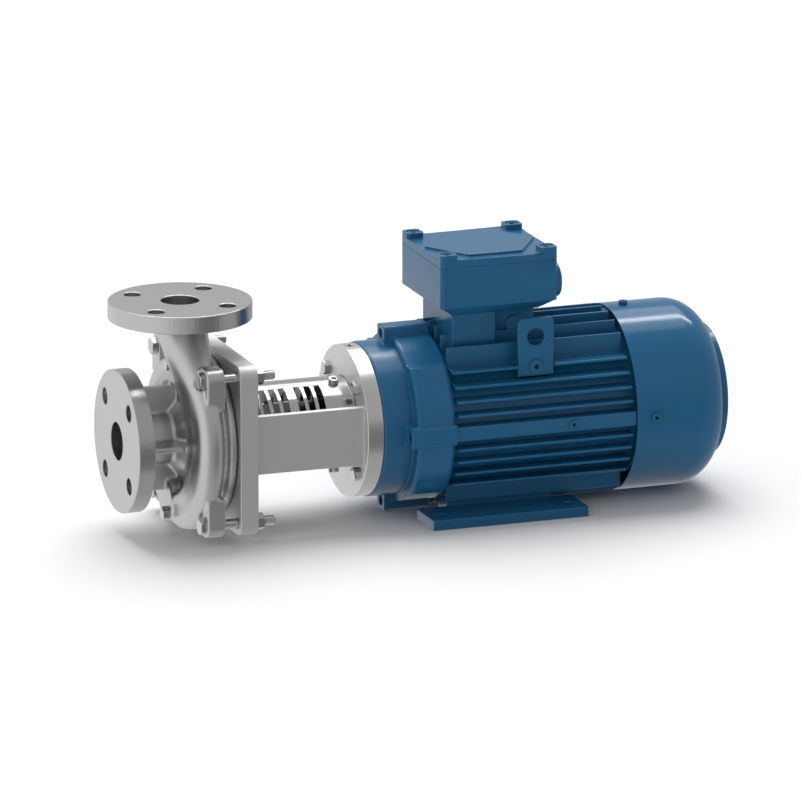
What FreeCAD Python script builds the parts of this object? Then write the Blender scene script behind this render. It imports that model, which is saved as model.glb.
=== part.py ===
import FreeCAD, Part
import Sketcher
import math
import os

# Monobloc centrifugal pump: a stainless end-suction pump with two DN40 flanges,
# carried by a lantern on the face of a size 100 foot-mounted motor.
# Frame: the origin is midway between the four foot bolts, on the plane the feet stand on.
# X runs along the shaft towards the fan, Z is up and the suction flange faces -X.
# Each piece is drawn about the shaft, and is then lifted by the shaft's height.

V = FreeCAD.Vector

# Driving dimensions, in millimetres and degrees.
SIZES = {
    # Feet and motor interface of frame size 100
    "shaft_height": 100,
    "foot_hole_x": 140,
    "foot_hole_y": 160,
    "foot_hole": 12,
    "foot_nose": 63,
    "foot_length": 172,
    "foot_width": 52,
    "foot_side": 100,
    "foot_thick": 11,
    "foot_corner": 5,
    "pedestal_length": 115,
    "pedestal_shift": 4.5,
    "pedestal_width": 28,
    "pedestal_side": 22,
    "pedestal_top": 80,
    "foot_screw": 8,
    "face_od": 160,
    "face_spigot": 110,
    "spigot_length": 3.5,
    "face_pcd": 130,
    "face_screw": 8,
    # Flanges and ports, DN40
    "port_bore": 40,
    "flange_od": 150,
    "flange_thick": 18,
    "flange_pcd": 110,
    "flange_hole": 18,
    "discharge_reach": 70,
    "discharge_height": 145,
    # Volute casing
    "casing_depth": 104.2,
    "casing_gap": 0.8,
    "casing_wall": 7,
    "scroll_wall": 8,
    "casing_od": 168,
    "scroll_front": 57,
    "scroll_back": 16.2,
    "flange_back": 8.7,
    "groove_od": 158,
    "scroll_inner": 56,
    "tongue_radius": 82,
    "throat_radius": 105,
    "front_wall_x": 66,
    "front_wall": 6,
    "chamber_bore": 136,
    "eye_bore": 48,
    "rib_radius": 56,
    "rib_thick": 7,
    "rib_slit": 2,
    "rib_slit_depth": 18,
    "lug_back": 15.6,
    "lug_thick": 19.6,
    "lug_width": 25,
    "lug_reach": 42,
    "drain_lobe": 48,
    "drain_lobe_side": 6,
    "drain_lobe_drop": 66,
    "drain_x": 54,
    "drain_side": -3,
    "drain_drop": 81,
    "drain_thread": 10,
    "drain_hex": 13,
    "drain_head": 6.5,
    "vent_x": 55.5,
    "vent_side": -6,
    "vent_rise": 78.5,
    "vent_thread": 8,
    "vent_hex": 11,
    "vent_head": 4,
    "plug_depth": 6,
    "wear_ring_bore": 60,
    "wear_ring_od": 66,
    "wear_ring_width": 5,
    # Joint between casing and lantern
    "gasket_thick": 1,
    "cover_od": 144,
    "cover_flange": 7,
    "cover_spigot": 12,
    "register_od": 104,
    "register_length": 13,
    "seal_bore": 44,
    "seal_back": 5,
    "joint_bolt": 10,
    "joint_bolt_pitch": 155,
    "joint_bolt_end": 21.5,
    "bolt_hex": 16,
    "bolt_head": 6.4,
    "spot_face": 0.5,
    "nut_height": 8.5,
    # Lantern and guard
    "lantern_length": 161,
    "plate_side": 180,
    "plate_thick": 19.5,
    "plate_corner": 12.5,
    "disc_thick": 18,
    "wall_side": 68,
    "wall_thick": 8,
    "wall_height": 62,
    "lantern_bore": 88,
    "grease_hole": 6,
    "guard_od": 96,
    "guard_thick": 1.5,
    "guard_seat": 3.5,
    "guard_gap": 2,
    "guard_edge": 12,
    "guard_lip": 20,
    "guard_slot": 7,
    "guard_slot_x": 12.5,
    "guard_slot_pitch": 11,
    "guard_slot_break": 6,
    "guard_slot_start": 20,
    "guard_slot_arc": 54,
    "guard_screw_back": 15,
    "guard_screw_angle": 17,
    "guard_screw": 5,
    "small_hex": 13,
    "small_head": 5.5,
    # Rotating parts of the pump
    "impeller_od": 126,
    "impeller_front": 7.5,
    "impeller_outlet": 5.5,
    "shroud": 2.5,
    "impeller_bore": 18,
    "impeller_hub": 32,
    "hub_nose": 4,
    "blade_count": 5,
    "blade_thick": 3,
    "stub_nose": 12,
    "stub_seal": 24,
    "stub_socket": 44,
    "nut_hex": 24,
    "seal_ring_width": 7,
    "seal_collar_width": 3,
    "clamp_od": 70,
    "clamp_width": 16,
    "clamp_pcd": 56,
    # Motor
    "motor_shaft": 28,
    "motor_shaft_end": 60,
    "front_seat": 30,
    "shield_od": 163,
    "shield_length": 74,
    "shield_face": 16,
    "shield_wall": 7,
    "shield_step_od": 178,
    "shield_band_od": 192,
    "shield_band_x": 32,
    "shield_band_height": 136,
    "shield_lug_radius": 99,
    "rear_screw_ring": 86,
    "shield_lug_width": 22,
    "shield_lug_x": 24,
    "front_bearing_x": 32,
    "front_bearing_od": 62,
    "front_bearing_width": 16,
    "frame_length": 208,
    "frame_bore": 152,
    "frame_wall": 6,
    "fin_side_radius": 96,
    "fin_top_radius": 99,
    "fin_first": 18,
    "fin_pitch": 14,
    "fin_top_pitch": 18,
    "fin_root": 4.6,
    "fin_tip": 3,
    "band_side": 96.5,
    "band_height": 15,
    "core_length": 120,
    "core_shift": 30,
    "core_bore": 96,
    "air_gap": 0.5,
    "winding_length": 26,
    "rotor_seat": 38,
    "rear_seat": 25,
    "rear_bearing_od": 52,
    "rear_bearing_width": 15,
    "rear_shield_thick": 12,
    "rear_hub_depth": 18,
    "ball_count": 8,
    "cowl_od": 197,
    "cowl_sheet": 2,
    "cowl_overlap": 8,
    "cowl_length": 108,
    "cowl_corner": 40,
    "cowl_mouth": 138,
    "cowl_screw_x": 20,
    "grille_thick": 3.5,
    "fan_od": 156,
    "fan_width": 30,
    "fan_bore": 20,
    "fan_start": 18,
    "fan_blades": 8,
    # Terminal box
    "box_length": 129,
    "box_width": 123,
    "box_floor": 126,
    "box_height": 43,
    "box_skirt": 11,
    "box_shift": 69,
    "box_wall": 6,
    "box_corner": 4,
    "cover_height": 8,
    "cover_boss": 19,
    "cover_boss_rise": 6,
    "cover_pad_rise": 2.5,
    "neck_length": 95,
    "neck_width": 90,
    "neck_shift": 87,
    "neck_step": 12,
    "neck_step_x": 135,
    "neck_entry": 18,
    "entry_od": 36,
    "entry_pitch": 76,
    "entry_drop": 26.5,
    "plug_proud": 7,
    # Lifting tab on the near side of the frame
    "tab_width": 40,
    "tab_height": 61.5,
    "tab_side": 75,
    "tab_thick": 6,
    "tab_low": 50,
    "tab_x": 149,
    "tab_hole": 19,
    "tab_hole_drop": 19.8,
    # Fits
    "fit": 0.03,
    "running": 0.3,
}

doc = FreeCAD.newDocument("pump")
sheet = doc.addObject("Spreadsheet::Sheet", "dim")
for row, (alias, number) in enumerate(SIZES.items(), 1):
    sheet.set("A%d" % row, alias)
    sheet.set("B%d" % row, str(number))
    sheet.setAlias("B%d" % row, alias)
doc.recompute()


class Size:
    """A length that knows its number and how the sheet works it out."""

    def __init__(self, number, text):
        self.number = float(number)
        self.text = text

    def __float__(self):
        return self.number

    def __add__(self, other):
        return Size(self.number + float(other), "(%s + %s)" % (self.text, words(other)))

    def __sub__(self, other):
        return Size(self.number - float(other), "(%s - %s)" % (self.text, words(other)))

    def __mul__(self, other):
        return Size(self.number * float(other), "(%s * %s)" % (self.text, words(other)))

    def __truediv__(self, other):
        return Size(self.number / float(other), "(%s / %s)" % (self.text, words(other)))

    def __neg__(self):
        return self * -1

    __radd__ = __add__
    __rmul__ = __mul__


def words(size):
    if isinstance(size, Size):
        return size.text
    return "(%.9f)" % size


class Sheet:
    """Reads a driving dimension from the spreadsheet by its alias."""

    def __getattr__(self, alias):
        return Size(float(sheet.get(alias)), "dim." + alias)


s = Sheet()
NONE = Size(0, "0")

# Stations along the shaft, worked out from the motor's face towards the suction flange.
motor_face = -(s.foot_nose + s.foot_hole_x / 2)
disc_front = motor_face - s.disc_thick
plate_front = motor_face - s.lantern_length
plate_rear = plate_front + s.plate_thick
casing_rear = plate_front - s.casing_gap
cover_front = plate_front - s.cover_flange
gasket_front = cover_front - s.gasket_thick
suction_face = casing_rear - s.casing_depth
discharge_x = suction_face + s.discharge_reach
frame_front = motor_face + s.shield_length
frame_rear = frame_front + s.frame_length
cowl_front = frame_rear - s.cowl_overlap

ALONG_X = FreeCAD.Rotation(V(0, 1, 0), 90)
ALONG_Y = FreeCAD.Rotation(V(1, 0, 0), -90)
BACK_Y = FreeCAD.Rotation(V(1, 0, 0), 90)
UPRIGHT = FreeCAD.Rotation()
QUARTERS = [math.radians(45 + 90 * step) for step in range(4)]
CLOCK = [math.radians(90 * step) for step in range(4)]

pieces = []


def keep(label, thing):
    """Names a finished piece and lifts it from the shaft's line to its height."""
    thing.Label = label
    thing.setExpression("Placement.Base.z", "dim.shaft_height")
    pieces.append(thing)
    return thing


def keep_shape(label, shape):
    """Keeps a shape that was made with the Part functions."""
    thing = doc.addObject("Part::Feature", label)
    thing.Shape = shape
    return keep(label, thing)


# Sketched bodies


def new_body():
    return doc.addObject("PartDesign::Body", "body")


def new_sketch(body, role, shift):
    sketch = body.newObject("Sketcher::SketchObject", "sketch")
    plane = [item for item in body.Origin.OriginFeatures if item.Role == role][0]
    sketch.AttachmentSupport = [(plane, "")]
    sketch.MapMode = "FlatFace"
    sketch.setExpression("AttachmentOffset.Base.z", shift.text)
    return sketch


def hold(sketch, kind, index, point, size):
    """Ties a point of the sketch to its origin by a length from the sheet."""
    name = sketch.addConstraint(Sketcher.Constraint(kind, -1, 1, index, point, float(size)))
    sketch.setExpression("Constraints[%d]" % name, size.text)


def add_outline(sketch, points):
    """Draws a closed outline of straight lines, with every corner held by the sheet."""
    points = [tuple(NONE + value for value in point) for point in points]
    first = sketch.GeometryCount
    count = len(points)
    for index, (across, up) in enumerate(points):
        next_across, next_up = points[(index + 1) % count]
        start = V(float(across), float(up), 0)
        end = V(float(next_across), float(next_up), 0)
        sketch.addGeometry(Part.LineSegment(start, end), False)
    for index in range(count):
        after = (index + 1) % count
        sketch.addConstraint(Sketcher.Constraint("Coincident", first + index, 2, first + after, 1))
    for index, (across, up) in enumerate(points):
        hold(sketch, "DistanceX", first + index, 1, across)
        hold(sketch, "DistanceY", first + index, 1, up)


def add_circle(sketch, across, up, radius):
    across = NONE + across
    up = NONE + up
    centre = V(float(across), float(up), 0)
    index = sketch.addGeometry(Part.Circle(centre, V(0, 0, 1), float(radius)), False)
    hold(sketch, "DistanceX", index, 3, across)
    hold(sketch, "DistanceY", index, 3, up)
    name = sketch.addConstraint(Sketcher.Constraint("Radius", index, float(radius)))
    sketch.setExpression("Constraints[%d]" % name, radius.text)


def turn(body, points, kind="PartDesign::Revolution"):
    """Turns an outline of (x, radius) corners about the shaft."""
    sketch = new_sketch(body, "XZ_Plane", NONE)
    add_outline(sketch, points)
    feature = body.newObject(kind, "turned")
    feature.Profile = sketch
    feature.ReferenceAxis = (sketch, ["H_Axis"])
    feature.Angle = 360
    return feature


def extrude(body, sketch, length, kind="PartDesign::Pad", reverse=False):
    feature = body.newObject(kind, "extruded")
    feature.Profile = sketch
    feature.setExpression("Length", length.text)
    feature.Reversed = reverse
    return feature


def drill(body, mouth, depth, radius, ring, angles):
    """Drills a ring of holes towards -X, from their mouths at x = mouth."""
    sketch = new_sketch(body, "YZ_Plane", mouth)
    for angle in angles:
        add_circle(sketch, ring * math.cos(angle), ring * math.sin(angle), radius)
    return extrude(body, sketch, depth, "PartDesign::Pocket")


def round_edges(body, base, radius, chosen):
    """Rounds the edges of a feature that the test picks out."""
    doc.recompute()
    names = []
    for number, edge in enumerate(base.Shape.Edges, 1):
        if chosen(edge):
            names.append("Edge%d" % number)
    fillet = body.newObject("PartDesign::Fillet", "rounded")
    fillet.Base = (base, names)
    fillet.setExpression("Radius", radius.text)
    return fillet


def runs_along(edge, direction):
    """True for a straight edge that lies along the direction."""
    if not isinstance(edge.Curve, (Part.Line, Part.LineSegment)):
        return False
    ends = edge.Vertexes[1].Point - edge.Vertexes[0].Point
    return abs(ends.normalize().dot(direction)) > 0.999


# Primitives and booleans


def put(thing, x, y, z, rotation):
    thing.Placement = FreeCAD.Placement(V(0, 0, 0), rotation)
    for axis, value in zip("xyz", (x, y, z)):
        thing.setExpression("Placement.Base." + axis, (NONE + value).text)
    return thing


def rod(radius, length, x, y, z, rotation=ALONG_X):
    thing = doc.addObject("Part::Cylinder", "rod")
    thing.setExpression("Radius", radius.text)
    thing.setExpression("Height", length.text)
    return put(thing, x, y, z, rotation)


def hexagon(across_flats, length, x, y, z, rotation=ALONG_X):
    thing = doc.addObject("Part::Prism", "hexagon")
    thing.Polygon = 6
    thing.setExpression("Circumradius", (across_flats / math.sqrt(3)).text)
    thing.setExpression("Height", length.text)
    return put(thing, x, y, z, rotation)


def block(length, width, height, x, y, z):
    """A block that stands on z, with x at its front face and y in its middle."""
    thing = doc.addObject("Part::Box", "block")
    thing.setExpression("Length", length.text)
    thing.setExpression("Width", width.text)
    thing.setExpression("Height", height.text)
    return put(thing, x, y - width / 2, z, UPRIGHT)


def fused(things):
    thing = doc.addObject("Part::MultiFuse", "fused")
    thing.Shapes = things
    return thing


def cut(base, tool):
    thing = doc.addObject("Part::Cut", "cut")
    thing.Base = base
    thing.Tool = tool
    return thing


def group(things):
    """Several separate solids of one kind, kept as one piece."""
    thing = doc.addObject("Part::Compound", "group")
    thing.Links = things
    return thing


def around(ring, angle):
    """The y and z of a point on a ring about the shaft."""
    return ring * math.cos(angle), ring * math.sin(angle)


# Part functions for the forms that need them


def right_way_out(shape):
    """Turns a solid's skin outwards where a sweep has left it inside out."""
    if shape.Volume < 0:
        shape.reverse()
    return shape


def turned_shape(points, angle=360):
    """A solid turned about the shaft from (x, radius) corners, starting at the top."""
    corners = [V(float(x), 0, float(radius)) for x, radius in points]
    face = Part.Face(Part.makePolygon(corners + corners[:1]))
    return right_way_out(face.revolve(V(0, 0, 0), V(1, 0, 0), angle))


def prism_shape(points, direction):
    """A straight solid drawn from a closed outline of points."""
    return right_way_out(Part.Face(Part.makePolygon(points + points[:1])).extrude(direction))


def box_shape(low, high):
    span = high - low
    return Part.makeBox(span.x, span.y, span.z, low)


# Volute casing

SCROLL_TURN = 265.0
SCROLL_START = 60.0
SCROLL_STATIONS = 10
NECK_STATIONS = 4
SECTION_POINTS = 16
SCROLL_SQUARENESS = 0.8
SCROLL_GROWTH = 0.75
NECK_PULL = 75.0


def section_wire(centre, out, half_out, half_across, power):
    """A rounded section of the scroll: a squared ellipse across the flow."""
    points = []
    for step in range(SECTION_POINTS):
        angle = 2 * math.pi * step / SECTION_POINTS
        cosine = math.cos(angle)
        sine = math.sin(angle)
        along = math.copysign(abs(cosine) ** power, cosine) * half_out
        across = math.copysign(abs(sine) ** power, sine) * half_across
        points.append(centre + out * along + V(across, 0, 0))
    curve = Part.BSplineCurve()
    curve.interpolate(points, PeriodicFlag=True)
    return Part.Wire(curve.toShape())


def scroll_shape(inset):
    """The scroll and its neck as one smooth solid, its surface moved inwards by the inset."""
    return right_way_out(Part.makeLoft(scroll_sections(inset), True, False, False))


def scroll_sections(inset):
    """Sections from the tongue round the spiral and up the neck to the discharge flange."""
    front = float(suction_face + s.scroll_front)
    rear = float(casing_rear - s.scroll_back)
    middle_x = (front + rear) / 2
    half_x = (rear - front) / 2
    inner = float(s.scroll_inner)
    wires = []
    for step in range(SCROLL_STATIONS):
        share = step / (SCROLL_STATIONS - 1)
        angle = math.radians(SCROLL_START - SCROLL_TURN * share)
        outer = float(s.tongue_radius) + float(s.throat_radius - s.tongue_radius) * share ** SCROLL_GROWTH
        out = V(0, math.cos(angle), math.sin(angle))
        centre = out * ((outer + inner) / 2) + V(middle_x, 0, 0)
        half_out = (outer - inner) / 2
        wires.append(section_wire(centre, out, half_out - inset, half_x - inset, SCROLL_SQUARENESS))
    # The neck follows a smooth curve from the throat to the middle of the flange.
    start = centre
    start_pull = V(0, -out.z, out.y) * -NECK_PULL
    end = V(float(discharge_x), 0, float(s.discharge_height - s.flange_thick) + 4)
    end_pull = V(0, 0, NECK_PULL)
    neck_radius = float(s.port_bore / 2 + s.casing_wall)
    for step in range(1, NECK_STATIONS + 1):
        share = step / NECK_STATIONS
        square = share * share
        cube = square * share
        blend = 3 * square - 2 * cube
        centre = start * (1 - blend) + end * blend
        centre += start_pull * (cube - 2 * square + share) + end_pull * (cube - square)
        along = (end - start) * (6 * share - 6 * square)
        along += start_pull * (3 * square - 4 * share + 1) + end_pull * (3 * square - 2 * share)
        along.normalize()
        out = V(0, -along.z, along.y)
        wide = half_out + (neck_radius - half_out) * blend
        deep = half_x + (neck_radius - half_x) * blend
        power = SCROLL_SQUARENESS + (1 - SCROLL_SQUARENESS) * blend
        wires.append(section_wire(centre, out, wide - inset, deep - inset, power))
    return wires


def rib_shape(angle):
    """A radial rib behind the suction flange, slit near the volute."""
    low_x = float(suction_face + s.flange_thick) - 1
    high_x = float(suction_face + s.front_wall_x) + 1
    half = float(s.rib_thick) / 2
    inner = float(s.port_bore / 2 + s.casing_wall) - 2
    outer = float(s.rib_radius)
    rib = box_shape(V(low_x, -half, inner), V(high_x, half, outer))
    slit_x = float(suction_face + s.scroll_front)
    slit_half = float(s.rib_slit) / 2
    slit_end = outer - float(s.rib_slit_depth)
    slit = box_shape(V(slit_x - slit_half, -half - 1, slit_end), V(slit_x + slit_half, half + 1, outer + 1))
    hook = Part.makeCylinder(slit_half, 2 * half + 2, V(slit_x - slit_half, -half - 1, slit_end), V(0, 1, 0))
    rib = rib.cut(slit).cut(hook)
    rib.rotate(V(0, 0, 0), V(1, 0, 0), math.degrees(angle))
    return rib


def lug_shape(side, level):
    """One bolted corner arm of the casing, with its outer corner rounded."""
    rear = float(casing_rear - s.lug_back)
    front = rear - float(s.lug_thick)
    half = float(s.plate_side / 2)
    inner = half - float(s.lug_width)
    lug = box_shape(V(front, inner, half - float(s.lug_reach)), V(rear, half, half))
    corner = [edge for edge in lug.Edges if edge.Length == lug.BoundBox.XLength
              and edge.CenterOfMass.y > half - 1 and edge.CenterOfMass.z > half - 1]
    lug = lug.makeFillet(float(s.plate_corner), corner)
    if level < 0:
        lug = lug.mirror(V(0, 0, 0), V(0, 0, 1))
    if side < 0:
        lug = lug.mirror(V(0, 0, 0), V(0, 1, 0))
    return lug


def make_volute_casing():
    x0 = suction_face
    pipe = s.port_bore / 2 + s.casing_wall
    face_r = s.flange_od / 2
    body_r = s.casing_od / 2
    wall_x = x0 + s.front_wall_x
    outside = turned_shape([
        (x0, 0), (x0, face_r), (x0 + s.flange_thick, face_r), (x0 + s.flange_thick, pipe + 3),
        (x0 + s.flange_thick + 3, pipe), (wall_x - 11, pipe), (wall_x, pipe + 13),
        (wall_x, body_r - 12), (wall_x + 4, body_r - 4), (wall_x + 10, body_r),
        (casing_rear - s.lug_back, body_r), (casing_rear - s.lug_back + 1, s.groove_od / 2),
        (casing_rear - s.flange_back, s.groove_od / 2), (casing_rear - s.flange_back, body_r),
        (casing_rear, body_r), (casing_rear, 0)])
    solids = [scroll_shape(0)]
    top = float(s.discharge_height)
    under = top - float(s.flange_thick)
    flange_centre = V(float(discharge_x), 0, under)
    solids.append(Part.makeCylinder(float(face_r), top - under, flange_centre, V(0, 0, 1)))
    for angle in CLOCK:
        solids.append(rib_shape(angle))
    for side in (-1, 1):
        for level in (-1, 1):
            solids.append(lug_shape(side, level))
    lobe_front = float(x0 + s.drain_x)
    lobe = V(lobe_front, float(s.drain_lobe_side), -float(s.drain_lobe_drop))
    lobe = Part.makeCylinder(float(s.drain_lobe) / 2, float(wall_x) + 6 - lobe_front, lobe, V(1, 0, 0))
    front_edge = [edge for edge in lobe.Edges if edge.Closed and edge.CenterOfMass.x < lobe_front + 1]
    solids.append(lobe.makeFillet(3, front_edge))
    vent_seat = V(float(x0 + s.vent_x), float(s.vent_side), float(s.vent_rise))
    spot = float(s.spot_face)
    boss_front = vent_seat - V(spot, 0, 0)
    solids.append(Part.makeCylinder(float(s.vent_hex) / 2 + 1, 12, boss_front, V(1, 0, 0)))
    casing = outside.multiFuse(solids)

    inner_x = wall_x + s.front_wall
    step_r = s.cover_od / 2 + s.fit
    seat_x = inner_x - s.wear_ring_width
    port = s.port_bore / 2
    hollow = turned_shape([
        (x0 - 1, 0), (x0 - 1, port), (seat_x - 8, port), (seat_x, s.eye_bore / 2),
        (seat_x, s.wear_ring_od / 2), (inner_x, s.wear_ring_od / 2), (inner_x, s.chamber_bore / 2),
        (gasket_front, s.chamber_bore / 2), (gasket_front, step_r),
        (casing_rear + 1, step_r), (casing_rear + 1, 0)])
    passage = scroll_shape(float(s.scroll_wall))
    outlet = Part.makeCylinder(float(port), top - under + 9, flange_centre - V(0, 0, 8), V(0, 0, 1))
    cutters = [passage, outlet]
    hole_r = float(s.flange_hole) / 2
    ring = float(s.flange_pcd) / 2
    for angle in QUARTERS:
        across = ring * math.cos(angle)
        along = ring * math.sin(angle)
        cutters.append(Part.makeCylinder(hole_r, top - under + 2, flange_centre + V(across, along, -1)))
        start = V(float(x0) - 1, across, along)
        cutters.append(Part.makeCylinder(hole_r, float(s.flange_thick) + 2, start, V(1, 0, 0)))
    drain_seat = V(lobe_front - 1, float(s.drain_side), -float(s.drain_drop))
    cutters.append(Part.makeCylinder(float(s.drain_thread) / 2, 20, drain_seat, V(1, 0, 0)))
    vent_hole = Part.makeCylinder(float(s.vent_thread) / 2, float(s.plug_depth) + 3, vent_seat - V(1, 0, 0),
                                  V(1, 0, 0))
    vent_face = Part.makeCylinder(float(s.vent_hex) * 0.64, 12, vent_seat - V(12, 0, 0), V(1, 0, 0))
    cutters.append(vent_hole.fuse(vent_face))
    bolt_place = float(s.joint_bolt_pitch / 2)
    seat_x = float(casing_rear - s.lug_back - s.lug_thick + s.spot_face)
    for y in (-bolt_place, bolt_place):
        for z in (-bolt_place, bolt_place):
            hole = Part.makeCylinder(float(s.joint_bolt) / 2 + 0.5, 60, V(seat_x - 1, y, z), V(1, 0, 0))
            face = Part.makeCylinder(float(s.bolt_hex) * 0.6, 14, V(seat_x - 14, y, z), V(1, 0, 0))
            cutters.append(hole.fuse(face))
    casing = casing.cut(hollow)
    for cutter in cutters:
        casing = casing.cut(cutter)
    return keep_shape("volute_casing", casing)


def make_plug(label, x, y, z, thread, flats, head_length):
    """A hexagon-head screw plug in the casing, facing the suction side."""
    seat = suction_face + x
    shank = rod(thread / 2 - s.fit, head_length / 2 + s.plug_depth, seat - head_length / 2, y, z)
    head = hexagon(flats, head_length, seat - head_length, y, z)
    return keep(label, fused([head, shank]))


def make_wear_ring():
    body = new_body()
    rear = suction_face + s.front_wall_x + s.front_wall
    front = rear - s.wear_ring_width
    outer = s.wear_ring_od / 2 - s.fit
    turn(body, [(front, s.wear_ring_bore / 2), (front, outer), (rear, outer), (rear, s.wear_ring_bore / 2)])
    return keep("casing_wear_ring", body)


def make_gasket():
    body = new_body()
    inner = s.chamber_bore / 2 + s.running
    outer = s.cover_od / 2 - s.fit
    turn(body, [(gasket_front, inner), (gasket_front, outer), (cover_front, outer), (cover_front, inner)])
    return keep("casing_gasket", body)


cover_nose = gasket_front - s.cover_spigot
seal_wall = plate_front + s.register_length
impeller_rear = cover_nose - 1.5
impeller_face = suction_face + s.front_wall_x + s.front_wall + 1.5
hub_rear = impeller_rear + 2


def make_cover():
    """The cover clamped between casing and lantern: spigot, seal chamber and register."""
    body = new_body()
    spigot = s.chamber_bore / 2 - s.running
    outer = s.cover_od / 2 - s.fit
    register = s.register_od / 2
    seal = s.seal_bore / 2
    clear = s.stub_seal / 2 + 3
    seat_x = seal_wall - s.seal_back - s.seal_ring_width
    turn(body, [
        (cover_nose, seal), (cover_nose, spigot), (cover_front, spigot), (cover_front, outer - 1),
        (cover_front + 1, outer), (plate_front - 1, outer), (plate_front, outer - 1),
        (plate_front, register), (seal_wall - 1, register), (seal_wall, register - 1),
        (seal_wall, clear), (seal_wall - s.seal_back, clear), (seal_wall - s.seal_back, seal - 3),
        (seat_x, seal - 3), (seat_x, seal)])
    return keep("casing_cover", body)


def make_joint_bolts():
    """Four long bolts draw the casing corners onto the lantern's square plate."""
    bolts = []
    nuts = []
    head_x = casing_rear - s.lug_back - s.lug_thick + s.spot_face - s.bolt_head
    end_x = plate_rear + s.joint_bolt_end
    half = s.joint_bolt_pitch / 2
    for side in (-1, 1):
        for level in (-1, 1):
            y = half * side
            z = half * level
            head = hexagon(s.bolt_hex, s.bolt_head, head_x, y, z)
            shank = rod(s.joint_bolt / 2, end_x - head_x, head_x, y, z)
            bolts.append(fused([head, shank]))
            hollow = rod(s.joint_bolt / 2 + s.fit, s.nut_height, plate_rear, y, z)
            nuts.append(cut(hexagon(s.bolt_hex, s.nut_height, plate_rear, y, z), hollow))
    keep("casing_bolts", group(bolts))
    keep("casing_nuts", group(nuts))


def make_seal():
    """The mechanical seal: a fixed seat, a rotating ring, its spring and its collar."""
    clear = s.stub_seal / 2 + 0.6
    outer = s.seal_bore / 2
    seat_rear = seal_wall - s.seal_back
    seat_front = seat_rear - s.seal_ring_width
    body = new_body()
    turn(body, [(seat_front - 1, clear), (seat_front - 1, outer - 6), (seat_front, outer - 6),
                (seat_front, outer - 3 - s.fit), (seat_rear, outer - 3 - s.fit), (seat_rear, clear)])
    keep("seal_seat", body)
    grip = s.stub_seal / 2 + s.fit
    ring_rear = seat_front - 1
    ring_front = ring_rear - s.seal_ring_width
    body = new_body()
    turn(body, [(ring_front, grip), (ring_front, outer - 3), (ring_rear - 2, outer - 3),
                (ring_rear - 2, outer - 6), (ring_rear, outer - 6), (ring_rear, grip)])
    keep("seal_ring", body)
    collar_front = hub_rear + 0.2
    collar_rear = collar_front + s.seal_collar_width
    coil = 1.1
    radius = float(s.stub_seal) / 2 + coil + 1
    pitch = (float(ring_front - collar_rear) - 2 * coil - 0.2) / 3
    helix = Part.makeHelix(pitch, 3 * pitch, radius)
    start = V(radius, 0, 0)
    wire_end = Part.Wire(Part.Circle(start, V(0, 1, 0), coil).toShape())
    spring = Part.Wire(helix).makePipeShell([wire_end], True, True)
    spring.rotate(V(0, 0, 0), V(0, 1, 0), 90)
    spring.translate(V(float(collar_rear) + coil + 0.1, 0, 0))
    keep_shape("seal_spring", spring)
    body = new_body()
    rim = outer - 4
    turn(body, [(collar_front, grip), (collar_front, rim), (collar_rear, rim), (collar_rear, grip)])
    keep("seal_collar", body)


# Impeller and stub shaft


def blade_shape(angle, front, rear):
    """A backward-curved blade, drawn as an arc band from the eye to the rim."""
    inner = float(s.eye_bore) / 2 + 1
    outer = float(s.impeller_od) / 2 - 0.5
    half = float(s.blade_thick) / 2
    sweep = math.radians(75)
    steps = 4
    sides = []
    for offset in (-half, half):
        points = []
        for step in range(steps + 1):
            share = step / steps
            radius = inner + (outer - inner) * share
            bend = angle + sweep * share + offset / radius * 1.6
            points.append(V(float(front), radius * math.cos(bend), radius * math.sin(bend)))
        curve = Part.BSplineCurve()
        curve.interpolate(points)
        sides.append((curve.toShape(), points))
    ends = [Part.makeLine(sides[0][1][0], sides[1][1][0]), Part.makeLine(sides[0][1][-1], sides[1][1][-1])]
    outline = Part.Wire(Part.__sortEdges__([sides[0][0], ends[1], sides[1][0], ends[0]]))
    return right_way_out(Part.Face(outline).extrude(V(float(rear) - float(front), 0, 0)))


def make_impeller():
    """A closed impeller: two shrouds with curved blades between them and a keyed hub."""
    rim = s.impeller_od / 2
    eye = s.eye_bore / 2
    neck = s.wear_ring_bore / 2 - s.running
    neck_front = impeller_face - s.impeller_front + 1
    front_in = impeller_face + s.shroud
    back_in = impeller_rear - s.shroud
    hub = s.impeller_hub / 2
    bore = s.impeller_bore / 2 + s.fit
    hub_front = impeller_face - s.hub_nose
    front = turned_shape([(neck_front, eye), (neck_front, neck), (impeller_face, neck),
                          (impeller_face, rim), (front_in, rim), (front_in, eye + 2), (impeller_face, eye)])
    back = turned_shape([(hub_front, bore), (hub_front, hub - 4), (back_in, hub + 6), (back_in, rim),
                         (impeller_rear, rim), (impeller_rear, hub), (hub_rear, hub), (hub_rear, bore)])
    blades = []
    count = int(s.blade_count.number)
    for step in range(count):
        blades.append(blade_shape(2 * math.pi * step / count, front_in - 0.5, back_in + 0.5))
    impeller = front.multiFuse([back] + blades)
    key_half = 2.5 + s.fit.number
    slot_low = V(float(hub_front) - 1, -key_half, 0)
    slot = box_shape(slot_low, V(float(hub_rear) + 1, key_half, float(bore) + 2.3))
    return keep_shape("impeller", impeller.cut(slot))


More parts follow.
